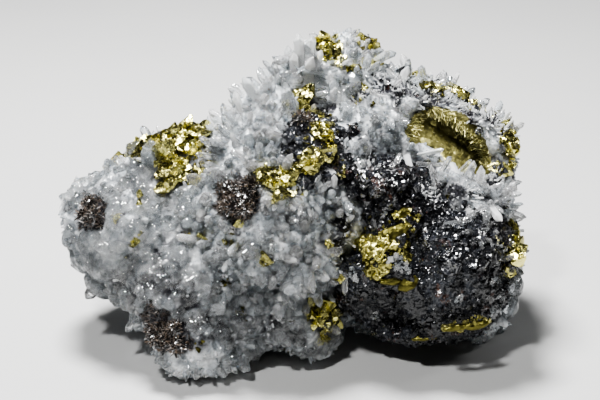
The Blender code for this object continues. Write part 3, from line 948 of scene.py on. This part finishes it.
def sphenoid_shape(name, rng):
    """A wedge-shaped crystal: a tetrahedron with its corners cut off unevenly."""
    corners = [Vector(c) for c in ((1, 1, 1), (1, -1, -1), (-1, 1, -1), (-1, -1, 1))]
    points = []
    for k, corner in enumerate(corners):
        for j, other in enumerate(corners):
            if j != k:
                points.append(corner.lerp(other, rng.uniform(0.08, 0.30)) * 0.62)
    return hull_shape(name, points)


def block_shape(name, rng, share=0.6):
    """A cleaved block: a cube with a share of its corners cut off."""
    points = []
    for corner in product((-0.5, 0.5), repeat=3):
        cut = rng.uniform(0.2, 0.6) if rng.random() < share else 0
        for axis in range(3):
            points.append([c * (1 - 2 * cut * (axis == k)) for k, c in enumerate(corner)])
    return hull_shape(name, points)


def shape_set(name, shapes):
    """A collection of shapes for a coat to pick from."""
    home = bpy.data.collections.new(name)
    for shape in shapes:
        home.objects.link(shape)
    return home


# ---- crystal coats ----

COAT_INPUTS = {
    "Geometry": "NodeSocketGeometry",
    "Crystals": "NodeSocketCollection",
    "Finish": "NodeSocketMaterial",
    "Spacing": "NodeSocketFloat",
    "Thin": "NodeSocketFloat",
    "Thick": "NodeSocketFloat",
    "Lean": "NodeSocketFloat",
    "Reach": "NodeSocketFloat",
    "Lowest": "NodeSocketVector",
    "Highest": "NodeSocketVector",
    "Seed": "NodeSocketInt",
}


def coat_tree():
    """Crystals standing on a surface, spaced evenly, larger where its grow attribute is larger.

    They follow the normal plus the heading attribute, and none whose tip would leave the box
    between Lowest and Highest is made. Each keeps a random tone for its finish.
    """
    tree = bpy.data.node_groups.new("crystal coat", "GeometryNodeTree")
    for name, kind in COAT_INPUTS.items():
        tree.interface.new_socket(name, in_out="INPUT", socket_type=kind)
    tree.interface.new_socket("Geometry", in_out="OUTPUT", socket_type="NodeSocketGeometry")
    graph = Graph(tree)
    given = tree.nodes.new("NodeGroupInput")
    inputs = {name: Socket(graph, given.outputs[name]) for name in COAT_INPUTS}
    seed = inputs["Seed"]

    def chance(offset, low=0.0, high=1.0, kind="FLOAT"):
        sockets = {"Min": low, "Max": high, "Seed": seed + offset}
        return graph.node("FunctionNodeRandomValue", {"data_type": kind}, sockets)

    def attribute(name, kind):
        return graph.node("GeometryNodeInputNamedAttribute", {"data_type": kind}, {"Name": name})

    points = graph.node("GeometryNodeDistributePointsOnFaces", {"distribute_method": "POISSON"}, {
        "Mesh": inputs["Geometry"],
        "Distance Min": inputs["Spacing"],
        "Density Max": 1.6 / (inputs["Spacing"] * inputs["Spacing"]),
        "Density Factor": attribute("cover", "FLOAT"),
        "Seed": seed,
    })
    wander = chance(1, (-1, -1, -1), (1, 1, 1), "FLOAT_VECTOR")
    wander = graph.vector("SCALE", wander, inputs["Lean"])
    lean = graph.vector("ADD", points.beside("Normal"), attribute("heading", "FLOAT_VECTOR"))
    heading = graph.vector("NORMALIZE", graph.vector("ADD", lean, wander))
    size = chance(2) ** 1.8 * (inputs["Thick"] - inputs["Thin"]) + inputs["Thin"]
    size = size * attribute("grow", "FLOAT")
    sides = {0: size, 1: size * chance(3, 0.8, 1.2), 2: size * chance(4, 0.75, 1.2)}
    stretch = graph.node("ShaderNodeCombineXYZ", None, sides)
    upright = graph.node("FunctionNodeAlignRotationToVector", {"axis": "Z"}, {"Vector": heading})
    spin = graph.node("FunctionNodeAxisAngleToRotation", None, {"Angle": chance(5, 0, math.tau)})
    turns = {"Rotation": upright, "Rotate By": spin}
    rotation = graph.node("FunctionNodeRotateRotation", {"rotation_space": "LOCAL"}, turns)
    tip = graph.vector("SCALE", heading, size * inputs["Reach"])
    tip = graph.vector("ADD", tip, graph.node("GeometryNodeInputPosition"))
    boxed = graph.vector("MAXIMUM", tip, inputs["Lowest"])
    boxed = graph.vector("MINIMUM", boxed, inputs["Highest"])
    inside = graph.vector("DISTANCE", tip, boxed, output="Value") < 1e-6
    chosen = graph.node("GeometryNodeCollectionInfo", None, {
        "Collection": inputs["Crystals"], "Separate Children": True, "Reset Children": True,
    })
    crystals = graph.node("GeometryNodeInstanceOnPoints", None, {
        "Points": points,
        "Selection": inside,
        "Instance": chosen,
        "Pick Instance": True,
        "Instance Index": chance(6, 0, 20, "INT"),
        "Rotation": rotation,
        "Scale": stretch,
    })
    crystals = graph.node(
        "GeometryNodeStoreNamedAttribute",
        {"data_type": "FLOAT", "domain": "INSTANCE"},
        {"Geometry": crystals, "Name": "tone", "Value": chance(7)},
    )
    crystals = graph.node("GeometryNodeRealizeInstances", None, {"Geometry": crystals})
    made = {"Geometry": crystals, "Material": inputs["Finish"]}
    crystals = graph.node("GeometryNodeSetMaterial", None, made)
    graph.feed(tree.nodes.new("NodeGroupOutput").inputs["Geometry"], crystals)
    return tree


COAT = coat_tree()


def coat(base, name, crystals, finish, spacing, thin, thick, lean, seed, reach):
    """The crystals that cover a base, as one plain mesh. Sizes are in millimetres.

    Their tips reach this many times their size.
    """
    obj = shown(bpy.data.objects.new(name, base.data))
    modifier = obj.modifiers.new("coat", "NODES")
    modifier.node_group = COAT
    margin = Vector((1, 1, 1)) * BOX_MARGIN_MM * MM
    values = {
        "Crystals": crystals,
        "Finish": finish,
        "Spacing": spacing * MM,
        "Thin": thin * MM,
        "Thick": thick * MM,
        "Lean": lean,
        "Reach": reach,
        "Lowest": CAD_BOX[0] + margin,
        "Highest": CAD_BOX[1] - margin,
        "Seed": seed,
    }
    for item in COAT.interface.items_tree:
        if item.name in values:
            modifier[item.identifier] = values[item.name]
    return applied(obj, name)


def spray(name, crystals, surface, finish, rng):
    """Single crystals, each ((across, up) of its root, heading, rise, length, thickness)."""
    vertices, faces, tones = [], [], []
    low, high = CAD_BOX
    for place, turn, rise, length, thickness in crystals:
        root = seen_at(surface, *place)
        upright = toward(turn, rise).to_track_quat("Z", "Y").to_matrix().to_4x4()
        stand = Matrix.Translation(root) @ upright @ Matrix.Rotation(rng.uniform(0, 1), 4, "Z")
        shape = quartz_shape("crystal", length / thickness + ROOTED, 0.62, rng, 0.045)
        thick = thickness * MM
        sunk = Matrix.Translation((0, 0, -ROOTED * thick)) @ Matrix.Scale(thick, 4)
        corners = [stand @ sunk @ vert.co for vert in shape.data.vertices]
        corners = [Vector(map(max, low, map(min, high, corner))) for corner in corners]
        faces += [[len(vertices) + k for k in face.vertices] for face in shape.data.polygons]
        vertices += corners
        tones += [rng.uniform(0.1, 1)] * len(corners)
        drop(shape)
    obj = shown(mesh_object(name, vertices, faces))
    store(obj, "tone", tones)
    return finished_in(obj, finish)


def lumps(name, table, surface, finish, rng=None):
    """Lens-shaped lumps, each (place, turn, (length, width, thickness)): faceted if given rng."""
    bm = bmesh.new()
    for place, turn, size in table:
        flat = Matrix.Translation(seen_at(surface, *place)) @ FACE.to_quaternion().to_matrix().to_4x4()
        turned = flat @ Matrix.Rotation(math.radians(turn), 4, "Z")
        stand = turned @ Matrix.Diagonal((*size, 1 / MM)) * MM
        if rng:
            points = [random_direction(rng) / 2 for _ in range(FACETED_POINTS)]
            shape = hull_shape("facets", points, 0.05)
            shape.data.transform(stand)
            bm.from_mesh(shape.data)
            drop(shape)
        else:
            made = bmesh.ops.create_icosphere(bm, subdivisions=3, radius=0.5, matrix=stand)
            for vert in made["verts"]:
                vert.co += LUMP_ROUGHNESS_MM * MM * noise.noise_vector(vert.co / (1.6 * MM))
    return finished_in(shown(object_from(bm, name)), finish)


def core_of(node, name, inset_mm, cell_mm, relief):
    """A node's own shape, skinned anew, with the attributes that a coat reads."""
    core = skinned(
        copy_of(node, name),
        cell_mm=cell_mm, smooth=2, inset_mm=inset_mm, relief=relief, last_cell_mm=cell_mm,
    )
    count = len(core.data.vertices)
    store(core, "cover", np.ones(count))
    store(core, "grow", np.ones(count))
    store(core, "heading", np.zeros((count, 3)))
    return core


def settle(obj, slot, *nodes):
    """Hands a finished piece to the frame, kept inside the box of the CAD solids.

    A share of a coat on which no crystal grows is dropped.
    """
    if not obj.data.polygons:
        return drop(obj)
    low, high = (np.array(corner) for corner in CAD_BOX)
    move_to(obj, np.clip(places_of(obj), low, high))
    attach(obj, "root")
    if nodes:
        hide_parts(*nodes)


# ---- the specimen's finishes and crystal shapes ----

rng = random.Random(SEED)
noise.seed_set(SEED)  # noise_vector would otherwise start from the time of day

FINISHES = {
    "single": quartz(
        "clear quartz", 0.92, (0.86, 0.89, 0.91), (1.0, 1.0, 1.0),
        gloss=0.01, uneven=0.15,
    ),
    "crust": quartz(
        "glassy quartz", 0.94, (0.62, 0.65, 0.67), (0.96, 0.97, 0.965),
        gloss=0.02, uneven=1.0,
    ),
    "points": quartz(
        "quartz points", 0.76, (0.72, 0.765, 0.79), (1.0, 1.0, 1.0),
        gloss=0.02, uneven=0.25,
    ),
    "milky": quartz(
        "milky quartz", 0.56, (0.80, 0.825, 0.83), (1.0, 1.0, 0.99),
        gloss=0.03, uneven=0.3,
    ),
    "grains": quartz(
        "quartz grains", 0.70, (0.66, 0.70, 0.725), (1.0, 1.0, 1.0),
        gloss=0.02, uneven=0.4,
    ),
    "matrix": quartz_matrix(),
    "ore": sphalerite("black sphalerite", 1.6, (0.042, 0.046, 0.055), gloss=0.08, depth=1.0),
    "cleaved": sphalerite("cleaved sphalerite", 2.1, (0.030, 0.032, 0.040), gloss=0.06, depth=0.9),
    "brown": brown_sphalerite(),
    "brass": chalcopyrite(
        "chalcopyrite", (0.72, 0.672, 0.245), (0.19, 0.175, 0.062),
        share=0.52, dull=0.12, rough=0.8,
    ),
    "fibre": chalcopyrite(
        "fibrous chalcopyrite", (0.76, 0.72, 0.36), (0.33, 0.31, 0.12),
        share=0.45, dull=0.30, rough=0.3,
    ),
    "vein": chalcopyrite(
        "chalcopyrite vein", (0.64, 0.59, 0.20), (0.15, 0.14, 0.04),
        share=0.70, dull=0.22, rough=1.0,
    ),
    "shell": chalcopyrite(
        "tarnished chalcopyrite", (0.205, 0.190, 0.072), (0.092, 0.085, 0.030),
        share=0.6, dull=0.33, rough=0.6,
    ),
    "plate": chalcopyrite(
        "olive chalcopyrite", (0.105, 0.096, 0.026), (0.040, 0.037, 0.010),
        share=0.6, dull=0.30, rough=0.5,
    ),
}


def quartz_shapes(name, aspects, tip, bevel=0.0):
    """Prisms of these proportions, drawn in turn."""
    return [quartz_shape(f"{name} {aspect}", aspect, tip, rng, bevel) for aspect in aspects]


SHAPES = {
    "points": shape_set("points", quartz_shapes("point", (1.2, 1.5, 1.8, 2.2, 2.6), 0.6, 0.045)),
    "stout": shape_set("stout", quartz_shapes("stout", (0.9, 1.1, 1.4, 1.7), 0.5, 0.05)),
    "grains": shape_set("grains", quartz_shapes("grain", (0.7, 0.95, 1.2, 1.5), 0.5)),
    "knobs": shape_set(
        "knobs",
        [block_shape(f"knob {k}", rng, share=0.9) for k in range(4)]
        + quartz_shapes("knob", (0.9, 1.2), 0.5),
    ),
    "fibres": shape_set("fibres", quartz_shapes("fibre", (7.0, 10.0, 13.0), 0.3)),
    "needles": shape_set("needles", quartz_shapes("needle", (2.2, 3.0, 3.8), 0.3)),
    "wedges": shape_set("wedges", [sphenoid_shape(f"wedge {k}", rng) for k in range(7)]),
    "blocks": shape_set("blocks", [block_shape(f"block {k}", rng) for k in range(6)]),
}


# ---- quartz, and the small crystals of other minerals on it ----

BLOCK_RELIEF = [("CLOUDS", 6, 1.0), ("VORONOI", 4.2, -1.5), ("VORONOI", 1.8, -0.7)]
SHARES = {  # each coat is three pieces side by side, between these places across in metres
    "left": (-math.inf, -0.018),
    "middle": (-0.018, 0.020),
    "right": (0.020, math.inf),
}
FANS = 420  # the crystals lean away from this many points below the surface
FUSED = {"quartz_crust": (0.45, 2), "quartz_edge": (0.42, 1)}  # cell of the skin, rounds of softening


def quartz_block():
    """The milky block under the crystals, and how much each place of it faces the display side."""
    block = skinned(
        copy_of("quartz_matrix", "quartz_block"),
        cell_mm=0.9, smooth=8, inset_mm=0.3, relief=BLOCK_RELIEF, last_cell_mm=0.85,
    )
    facing = np.clip((normals_of(block) @ OUTWARD) * 3, 0, 1)
    move_to(block, dented(places_of(block)))
    return finished_in(block, FINISHES["matrix"]), facing


def quartz_masks(places, facing, gaps):
    """What lies where on the block: shares from 0 to 1 for each of its places."""
    rough, fine = wandering(places, 3.5), wandering(places, 1.3)
    seen = on_face(places)
    specks = patch(seen, [(place, (1.2 * size, size), 0) for place, size in BRASS_SPECKS], 0.2)
    seen[:, :2] += 1.8 * rough[:, :2] + 0.7 * fine[:, :2]  # makes the borders ragged
    basin = patch(seen, BASIN, 0.1) * (seen[:, 2] > BASIN_BACK_MM)
    mask = SimpleNamespace(facing=facing, gaps=gaps)
    mask.dark = patch(seen, DARK_PLACES) * facing
    mixed = patch(seen, MIXED_PLACES) * 1.5 - 0.55 + 0.9 * rough[:, 2] + 0.5 * fine[:, 2]
    mask.mixed = np.clip(mixed, 0, 1) * facing
    mask.brown = patch(seen, BROWN_PLACES, 0.1) * facing
    brass = np.maximum(patch(seen, BRASS_PLACES, 0.2) * 0.9, specks) * facing
    mask.brass = brass * (1 - basin) > 0.45
    mask.dull = patch(seen, DULL_SPECKS) * facing
    mask.smooth = patch(seen, SMOOTH_PLACES)
    mask.stout = patch(seen, STOUT_PLACES) * facing
    mask.pointed = np.where(facing > 0.1, patch(seen, POINTED_PLACES), 0.5 * (1 - mask.smooth))
    mask.above = places[:, 2] > FLOOR_GAP_MM * MM
    mask.free = np.clip((gaps - 0.2) / 0.6, 0, 1) * mask.above * (1 - basin) * (1 - mask.brown)
    mask.clear = mask.free * (1 - patch(seen, BASIN, 0.6) * facing)
    mask.bare = (1 - mask.dark) * (1 - 0.6 * mask.brass)
    # Painted shade: in blotches on the shadowed places, plus an even darkening over the smooth and the
    # grey places, on faces toward the display side.
    gloom = np.clip(0.55 + 1.3 * rough[:, 2] + 0.9 * fine[:, 2], 0.1, 1)
    low = gloom * patch(seen, PAINTED_SHADE_PLACES, 0.6) + 0.28 * patch(seen, SMOOTH_PLACES, 0.6)
    mask.low = np.clip(low + 0.35 * patch(seen, GREY_PLACES, 0.6), 0, 1) * facing
    mask.short = 0.5 * patch(seen, SHORT_PLACES)
    return mask


def fanned(places, normals):
    """Directions away from points scattered below the surface, for crystals that stand in fans."""
    chosen = rng.sample(range(len(places)), FANS)
    foci = [Vector(places[k] - normals[k] * 3 * MM) for k in chosen]
    nearest = nearest_of(foci)
    return np.array([(Vector(p) - foci[nearest(p)]).normalized() for p in places])


def quartz_coats(mask):
    """Each coat on the block: name, shapes, finish, slot, cover, spacing, thin, thick, lean."""
    crusts = np.clip(np.maximum(mask.smooth, 0.5 * (1 - mask.pointed)), 0, 1)
    crusts = mask.free * crusts * mask.bare * (1 - mask.mixed) * np.maximum(mask.facing, mask.smooth)
    points = mask.clear * (0.04 + 0.96 * mask.pointed) * (1 - mask.smooth) * mask.bare
    points = points * (1 - 0.55 * mask.mixed) * (1 - 0.4 * mask.low)
    stout = mask.clear * (0.35 + 0.6 * mask.stout) * mask.bare
    stout = stout * (1 - 0.8 * mask.smooth) * (1 - mask.mixed)
    knobs = mask.clear * (0.12 + 0.3 * mask.pointed) * mask.bare * (1 - mask.smooth) * (1 - mask.low)
    grains = mask.free * (1 - 0.8 * mask.smooth) * mask.bare
    grains = grains * (1 - 0.8 * mask.mixed) * (1 - 0.7 * mask.low)
    needles = mask.free * (mask.mixed > 0.1) * (1 - mask.dark)
    ore = mask.free * np.maximum(mask.dark > 0.3, 0.4 * (mask.mixed > 0.5))
    brown = mask.above * (mask.brown > 0.5)
    brass = mask.brass * (mask.gaps > -1.5) * mask.above
    return [
        ("quartz_crust", "knobs", "crust", "quartz", crusts, 1.6, 1.6, 4.0, 0.4),
        ("quartz_points", "points", "points", "quartz", points, 2.2, 1.4, 3.2, 0.45),
        ("quartz_stout", "stout", "single", "quartz", stout, 2.5, 1.8, 4.4, 0.45),
        ("quartz_knobs", "points", "milky", "quartz", knobs, 2.8, 1.0, 2.4, 0.6),
        ("quartz_grains", "grains", "grains", "quartz", grains, 1.15, 0.7, 1.5, 0.6),
        ("quartz_needles", "needles", "milky", "quartz", needles, 0.95, 0.35, 1.1, 0.9),
        ("ore_grains", "blocks", "ore", "sphalerite", ore, 1.2, 0.8, 2.6, 0.8),
        ("brown_needles", "needles", "brown", "brown_sphalerite", brown, 0.38, 0.20, 0.36, 0.6),
        ("tarnished_grains", "wedges", "plate", "chalcopyrite", mask.dull > 0.5, 0.6, 0.5, 1.2, 1.0),
        ("brass_grains", "wedges", "brass", "chalcopyrite", brass, 1.4, 1.0, 3.3, 1.0),
    ]


def make_quartz():
    """The block with its coats, and the crystals and knobs that stand out of them."""
    block, facing = quartz_block()
    places, normals = places_of(block), normals_of(block)
    rocks = surface_of(block, NODES["sphalerite_mass"])
    others = surface_of(*[obj for name, obj in NODES.items() if name != "quartz_matrix"])
    gaps = gap_to(places, others)
    mask = quartz_masks(places, facing, gaps)
    # Darkening of the milky quartz: within 1.2 mm of the other minerals, real black ore bare or under
    # fine crystals, real brown needles, and painted shade between brassy grains (brass) and on shadowed
    # lower parts (low).
    shades = [1 - gaps / 1.2, mask.dark, mask.mixed, mask.brown, 0.9 * mask.brass, mask.low]
    store(block, "shade", np.clip(np.maximum.reduce(shades), 0, 1))
    grow = np.clip(0.6 + gaps / 4, 0.65, 1.0) * (1 - 0.35 * np.minimum(mask.mixed * 2, 1))
    store(block, "grow", grow * (1 - mask.short))
    store(block, "heading", fanned(places, normals) * 0.9)
    for name, shapes, finish, slot, cover, *sizes in quartz_coats(mask):
        store(block, "cover", cover)
        replaced = ["quartz_matrix"] if slot == "quartz" else []
        for number, (side, (low, high)) in enumerate(SHARES.items()):
            base = slice_of(block, f"base {side}", low, high)
            piece = coat(
                base, f"{name}_{side}", SHAPES[shapes], FINISHES[finish], *sizes,
                seed=10 * number, reach=2.0,
            )
            if name in FUSED:
                piece = fused(piece, FINISHES[finish], *FUSED[name])
            settle(piece, slot, *replaced)
            drop(base)
    for piece in (
        spray("quartz_spray", SINGLE_CRYSTALS, rocks, FINISHES["single"], rng),
        spray("milky_quartz_spray", MILKY_CRYSTALS, rocks, FINISHES["milky"], rng),
        lumps("quartz_knob_edge", QUARTZ_KNOBS, rocks, FINISHES["crust"]),
        lumps("quartz_faces", QUARTZ_FACES, rocks, FINISHES["points"], rng),
        block,
    ):
        settle(piece, "quartz", "quartz_matrix")


def make_basin():
    """The hollow's floor and the brassy fibres that line it."""
    shell = basin_shell("chalcopyrite_basin_shell", FINISHES["shell"])
    fibres = coat(
        shell, "chalcopyrite_fibres", SHAPES["fibres"], FINISHES["fibre"],
        spacing=0.30, thin=0.11, thick=0.21, lean=1.3, seed=4, reach=11.0,
    )
    settle(fibres, "chalcopyrite", "chalcopyrite_basin")
    settle(shell, "chalcopyrite", "chalcopyrite_basin")


# ---- sphalerite ----

ORE_RELIEF = [("VORONOI", 6, 0.8), ("VORONOI", 2.2, -0.8), ("CLOUDS", 1.0, 0.5)]
ORE_GRAINS = 40  # the mass is this many grains, each cleaved along its own direction


def cleaved(places):
    """The direction along which the grain at each place is cleaved."""
    directions = [random_direction(rng) for _ in range(ORE_GRAINS)]
    middles = [Vector(places[k]) for k in rng.sample(range(len(places)), ORE_GRAINS)]
    nearest = nearest_of(middles)
    return [3.0 * directions[nearest(p)] for p in places]


def ore_coats(places):
    """Each coat on the ore: name, shapes, finish, slot, cover, spacing, thin, thick, lean."""
    seen = on_face(places)
    bits = patch(seen, ORE_QUARTZ + SILVER, 0.2) > 0.5
    seen[:, :2] += 1.6 * wandering(places, 2.5)[:, :2]  # makes the borders ragged
    vein = patch(seen, VEIN, 0.15)
    flakes = patch(seen, ORE_BRASS, 0.2) > 0.5
    edge = patch(seen, ORE_EDGE, 0.2) * (1 - flakes)
    plain = (1 - vein) * (1 - edge)
    blocks = 0.9 * plain * patch(seen, CLEAVED_ORE)
    grains = 0.8 * plain * (1 - 0.8 * patch(seen, FLAT_ORE))
    veined = 0.4 * (vein > 0.5)
    needles, points = (patch(seen, table, 0.3) > 0.5 for table in (ORE_NEEDLES, ORE_POINTS))
    return [
        ("sphalerite_blocks", "blocks", "cleaved", "sphalerite", blocks, 1.9, 1.2, 3.6, 0.45),
        ("sphalerite_grains", "blocks", "ore", "sphalerite", grains, 1.05, 0.4, 1.5, 0.8),
        ("chalcopyrite_vein_grains", "wedges", "vein", "chalcopyrite", veined, 1.0, 0.35, 1.1, 1.0),
        ("chalcopyrite_edge_grains", "wedges", "brass", "chalcopyrite", flakes, 0.9, 0.7, 2.2, 1.0),
        ("quartz_on_ore", "blocks", "points", "quartz", bits, 0.65, 0.4, 1.2, 0.9),
        ("quartz_needles_on_ore", "needles", "milky", "quartz", needles, 0.75, 0.3, 0.8, 0.9),
        ("quartz_points_on_ore", "points", "single", "quartz", points, 1.5, 0.7, 2.0, 0.8),
        ("quartz_edge", "knobs", "crust", "quartz", edge > 0.5, 1.1, 0.8, 1.8, 0.5),
    ]


def make_sphalerite():
    """The dark mass with its cleaved grains and the small crystals on it."""
    ore = core_of("sphalerite_mass", "sphalerite_block", inset_mm=0.5, cell_mm=0.45, relief=ORE_RELIEF)
    finished_in(ore, FINISHES["ore"])
    places = places_of(ore)
    along_cleavage, straight_out = cleaved(places), np.zeros((len(places), 3))
    for number, (name, shapes, finish, slot, cover, *sizes) in enumerate(ore_coats(places)):
        own = slot == "sphalerite"
        store(ore, "cover", cover)
        store(ore, "heading", along_cleavage if own else straight_out)
        piece = coat(
            ore, name, SHAPES[shapes], FINISHES[finish], *sizes, seed=30 + number, reach=1.0
        )
        if name in FUSED:
            piece = fused(piece, FINISHES[finish], *FUSED[name])
        settle(piece, slot, *(["sphalerite_mass"] if own else []))
    settle(ore, "sphalerite", "sphalerite_mass")
    return ore


# ---- chalcopyrite, and the brown patches of sphalerite ----

VEIN_RELIEF = [("CLOUDS", 2.4, 1.6), ("VORONOI", 1.2, -0.6)]
NEST_RELIEF = [("CLOUDS", 2.2, 0.5)]
# the vein's crumples, and how much painted shade darkens their valleys
VEIN_CRUMPLES, VEIN_VALLEY_SHADE = (0.5, 0.35, 0.3), 0.6
LARGEST_WEDGE_MM = 4.2


def vein_core(node, finish, seed):
    """Crumpled metal with grains of itself, of ore and of milky quartz on it."""
    core = core_of(node, f"{node}_core", inset_mm=0.5, cell_mm=0.36, relief=VEIN_RELIEF)
    finished_in(core, FINISHES[finish])
    places = places_of(core)
    spread = np.array([noise.noise(Vector(p) / (2.2 * MM)) for p in places])
    milky = patch(on_face(places), SILVER, 0.2)
    for name, shapes, coating, slot, cover, *sizes in (
        ("grains", "wedges", "vein", "chalcopyrite", spread > 0.15, 0.8, 0.3, 0.9),
        ("ore", "blocks", "ore", "sphalerite", spread < -0.22, 0.9, 0.5, 1.8),
        ("bits", "blocks", "milky", "quartz", milky > 0.5, 0.7, 0.5, 1.4),
    ):
        store(core, "cover", cover)
        piece = coat(
            core, f"{node}_{name}", SHAPES[shapes], FINISHES[coating], *sizes,
            lean=1.0, seed=seed, reach=1.0,
        )
        settle(piece, slot, node)
    settle(core, "chalcopyrite", node)
    return core


def depth_of(surface):
    """A function that gives how far out a surface lies at places on the face."""

    def depth(across, up):
        hits = [seen_at(surface, u, v) for u, v in zip(across, up)]
        return on_face(np.array(hits))[:, 2] + 0.5

    return depth


def make_vein(ore):
    """The veins on the ore: crumpled metal, one larger sheet of it and dull olive plates."""
    main = vein_core("chalcopyrite_vein", "vein", seed=0)
    foot = vein_core("chalcopyrite_foot_vein", "shell", seed=1)
    veined = surface_of(ore, main, foot)
    sheet = sheet_of(
        "chalcopyrite_vein_sheet", FINISHES["vein"], VEIN_SPANS, VEIN_STEP_MM, VEIN_SHEET,
        depth_of(veined), VEIN_CRUMPLES, VEIN_VALLEY_SHADE,
    )
    settle(sheet, "chalcopyrite", "chalcopyrite_vein")
    plates = lumps("chalcopyrite_plates", OLIVE_LENSES, veined, FINISHES["plate"])
    settle(plates, "chalcopyrite", "chalcopyrite_vein")


def nest(node, slot, finish, shapes, seed, **sizes):
    """A node's shape with a coat of crystals."""
    core = core_of(node, f"{node}_core", inset_mm=0.15, cell_mm=0.5, relief=NEST_RELIEF)
    finished_in(core, finish)
    crystals = coat(
        core, f"{node}_crystals", SHAPES[shapes], finish, seed=seed, reach=1.0, **sizes
    )
    settle(crystals, slot, node)
    settle(core, slot, node)


def make_nests():
    """The clusters of brassy wedges and the patches of brown needles, front and back."""
    done = ("chalcopyrite_basin", "chalcopyrite_vein", "chalcopyrite_foot_vein", "sphalerite_mass")
    for number, node in enumerate(sorted(NODES)):
        if node in done:
            continue
        if node.startswith("chalcopyrite"):
            thick = min(LARGEST_WEDGE_MM, 0.42 * sorted(NODES[node].dimensions)[1] / MM)
            nest(
                node, "chalcopyrite", FINISHES["brass"], "wedges", number,
                spacing=0.42 * thick, thin=0.3 * thick, thick=thick, lean=1.2,
            )
        elif node.startswith("sphalerite"):
            nest(
                node, "brown_sphalerite", FINISHES["brown"], "needles", number,
                spacing=0.36, thin=0.20, thick=0.36, lean=0.6,
            )


# ---- studio ----

LIGHTS = [  # name, place and size in metres, power
    ("overhead", (-0.08, 0.12, 0.55), 0.16, 10.8),
    ("front", (-0.14, -0.30, 0.52), 0.06, 3.4),
    ("right", (0.45, 0.05, 0.35), 0.10, 0.5),
]
LIGHT_AIM = (0, 0, 0.03)
WORLD_COLOUR, WORLD_STRENGTH = (0.86, 0.88, 0.90, 1), 0.05


def soft_light(name, place, size, power):
    """A round light aimed at the specimen."""
    light = bpy.data.lights.new(name, "AREA")
    light.shape, light.size, light.energy = "DISK", size, power
    obj = shown(bpy.data.objects.new(name, light))
    obj.location = place
    obj.rotation_euler = (Vector(LIGHT_AIM) - Vector(place)).to_track_quat("-Z", "Y").to_euler()


def make_studio():
    """A pale floor, three lights, a dim sky and the camera in front of the display face."""
    half = FLOOR_HALF_WIDTH
    corners = [(-half, -half, 0), (half, -half, 0), (half, half, 0), (-half, half, 0)]
    floor = mesh_object("floor", corners, [(0, 1, 2, 3)])
    finished_in(floor, floor_finish())
    shown(floor)
    for light in LIGHTS:
        soft_light(*light)
    world = bpy.data.worlds.new("studio")
    world.use_nodes = True
    sky = world.node_tree.nodes["Background"].inputs
    sky["Color"].default_value, sky["Strength"].default_value = WORLD_COLOUR, WORLD_STRENGTH
    camera = shown(bpy.data.objects.new("camera", bpy.data.cameras.new("camera")))
    camera.data.lens, camera.data.sensor_width = LENS_MM, SENSOR_MM
    eye = FACE @ Vector((0, 0, SIGHT))
    camera.matrix_world = Matrix.LocRotScale(eye, FACE.to_quaternion(), None)
    scene = bpy.context.scene
    scene.world, scene.camera = world, camera
    scene.view_settings.look = "AgX - Medium High Contrast"


make_quartz()
make_basin()
make_vein(make_sphalerite())
make_nests()
make_studio()
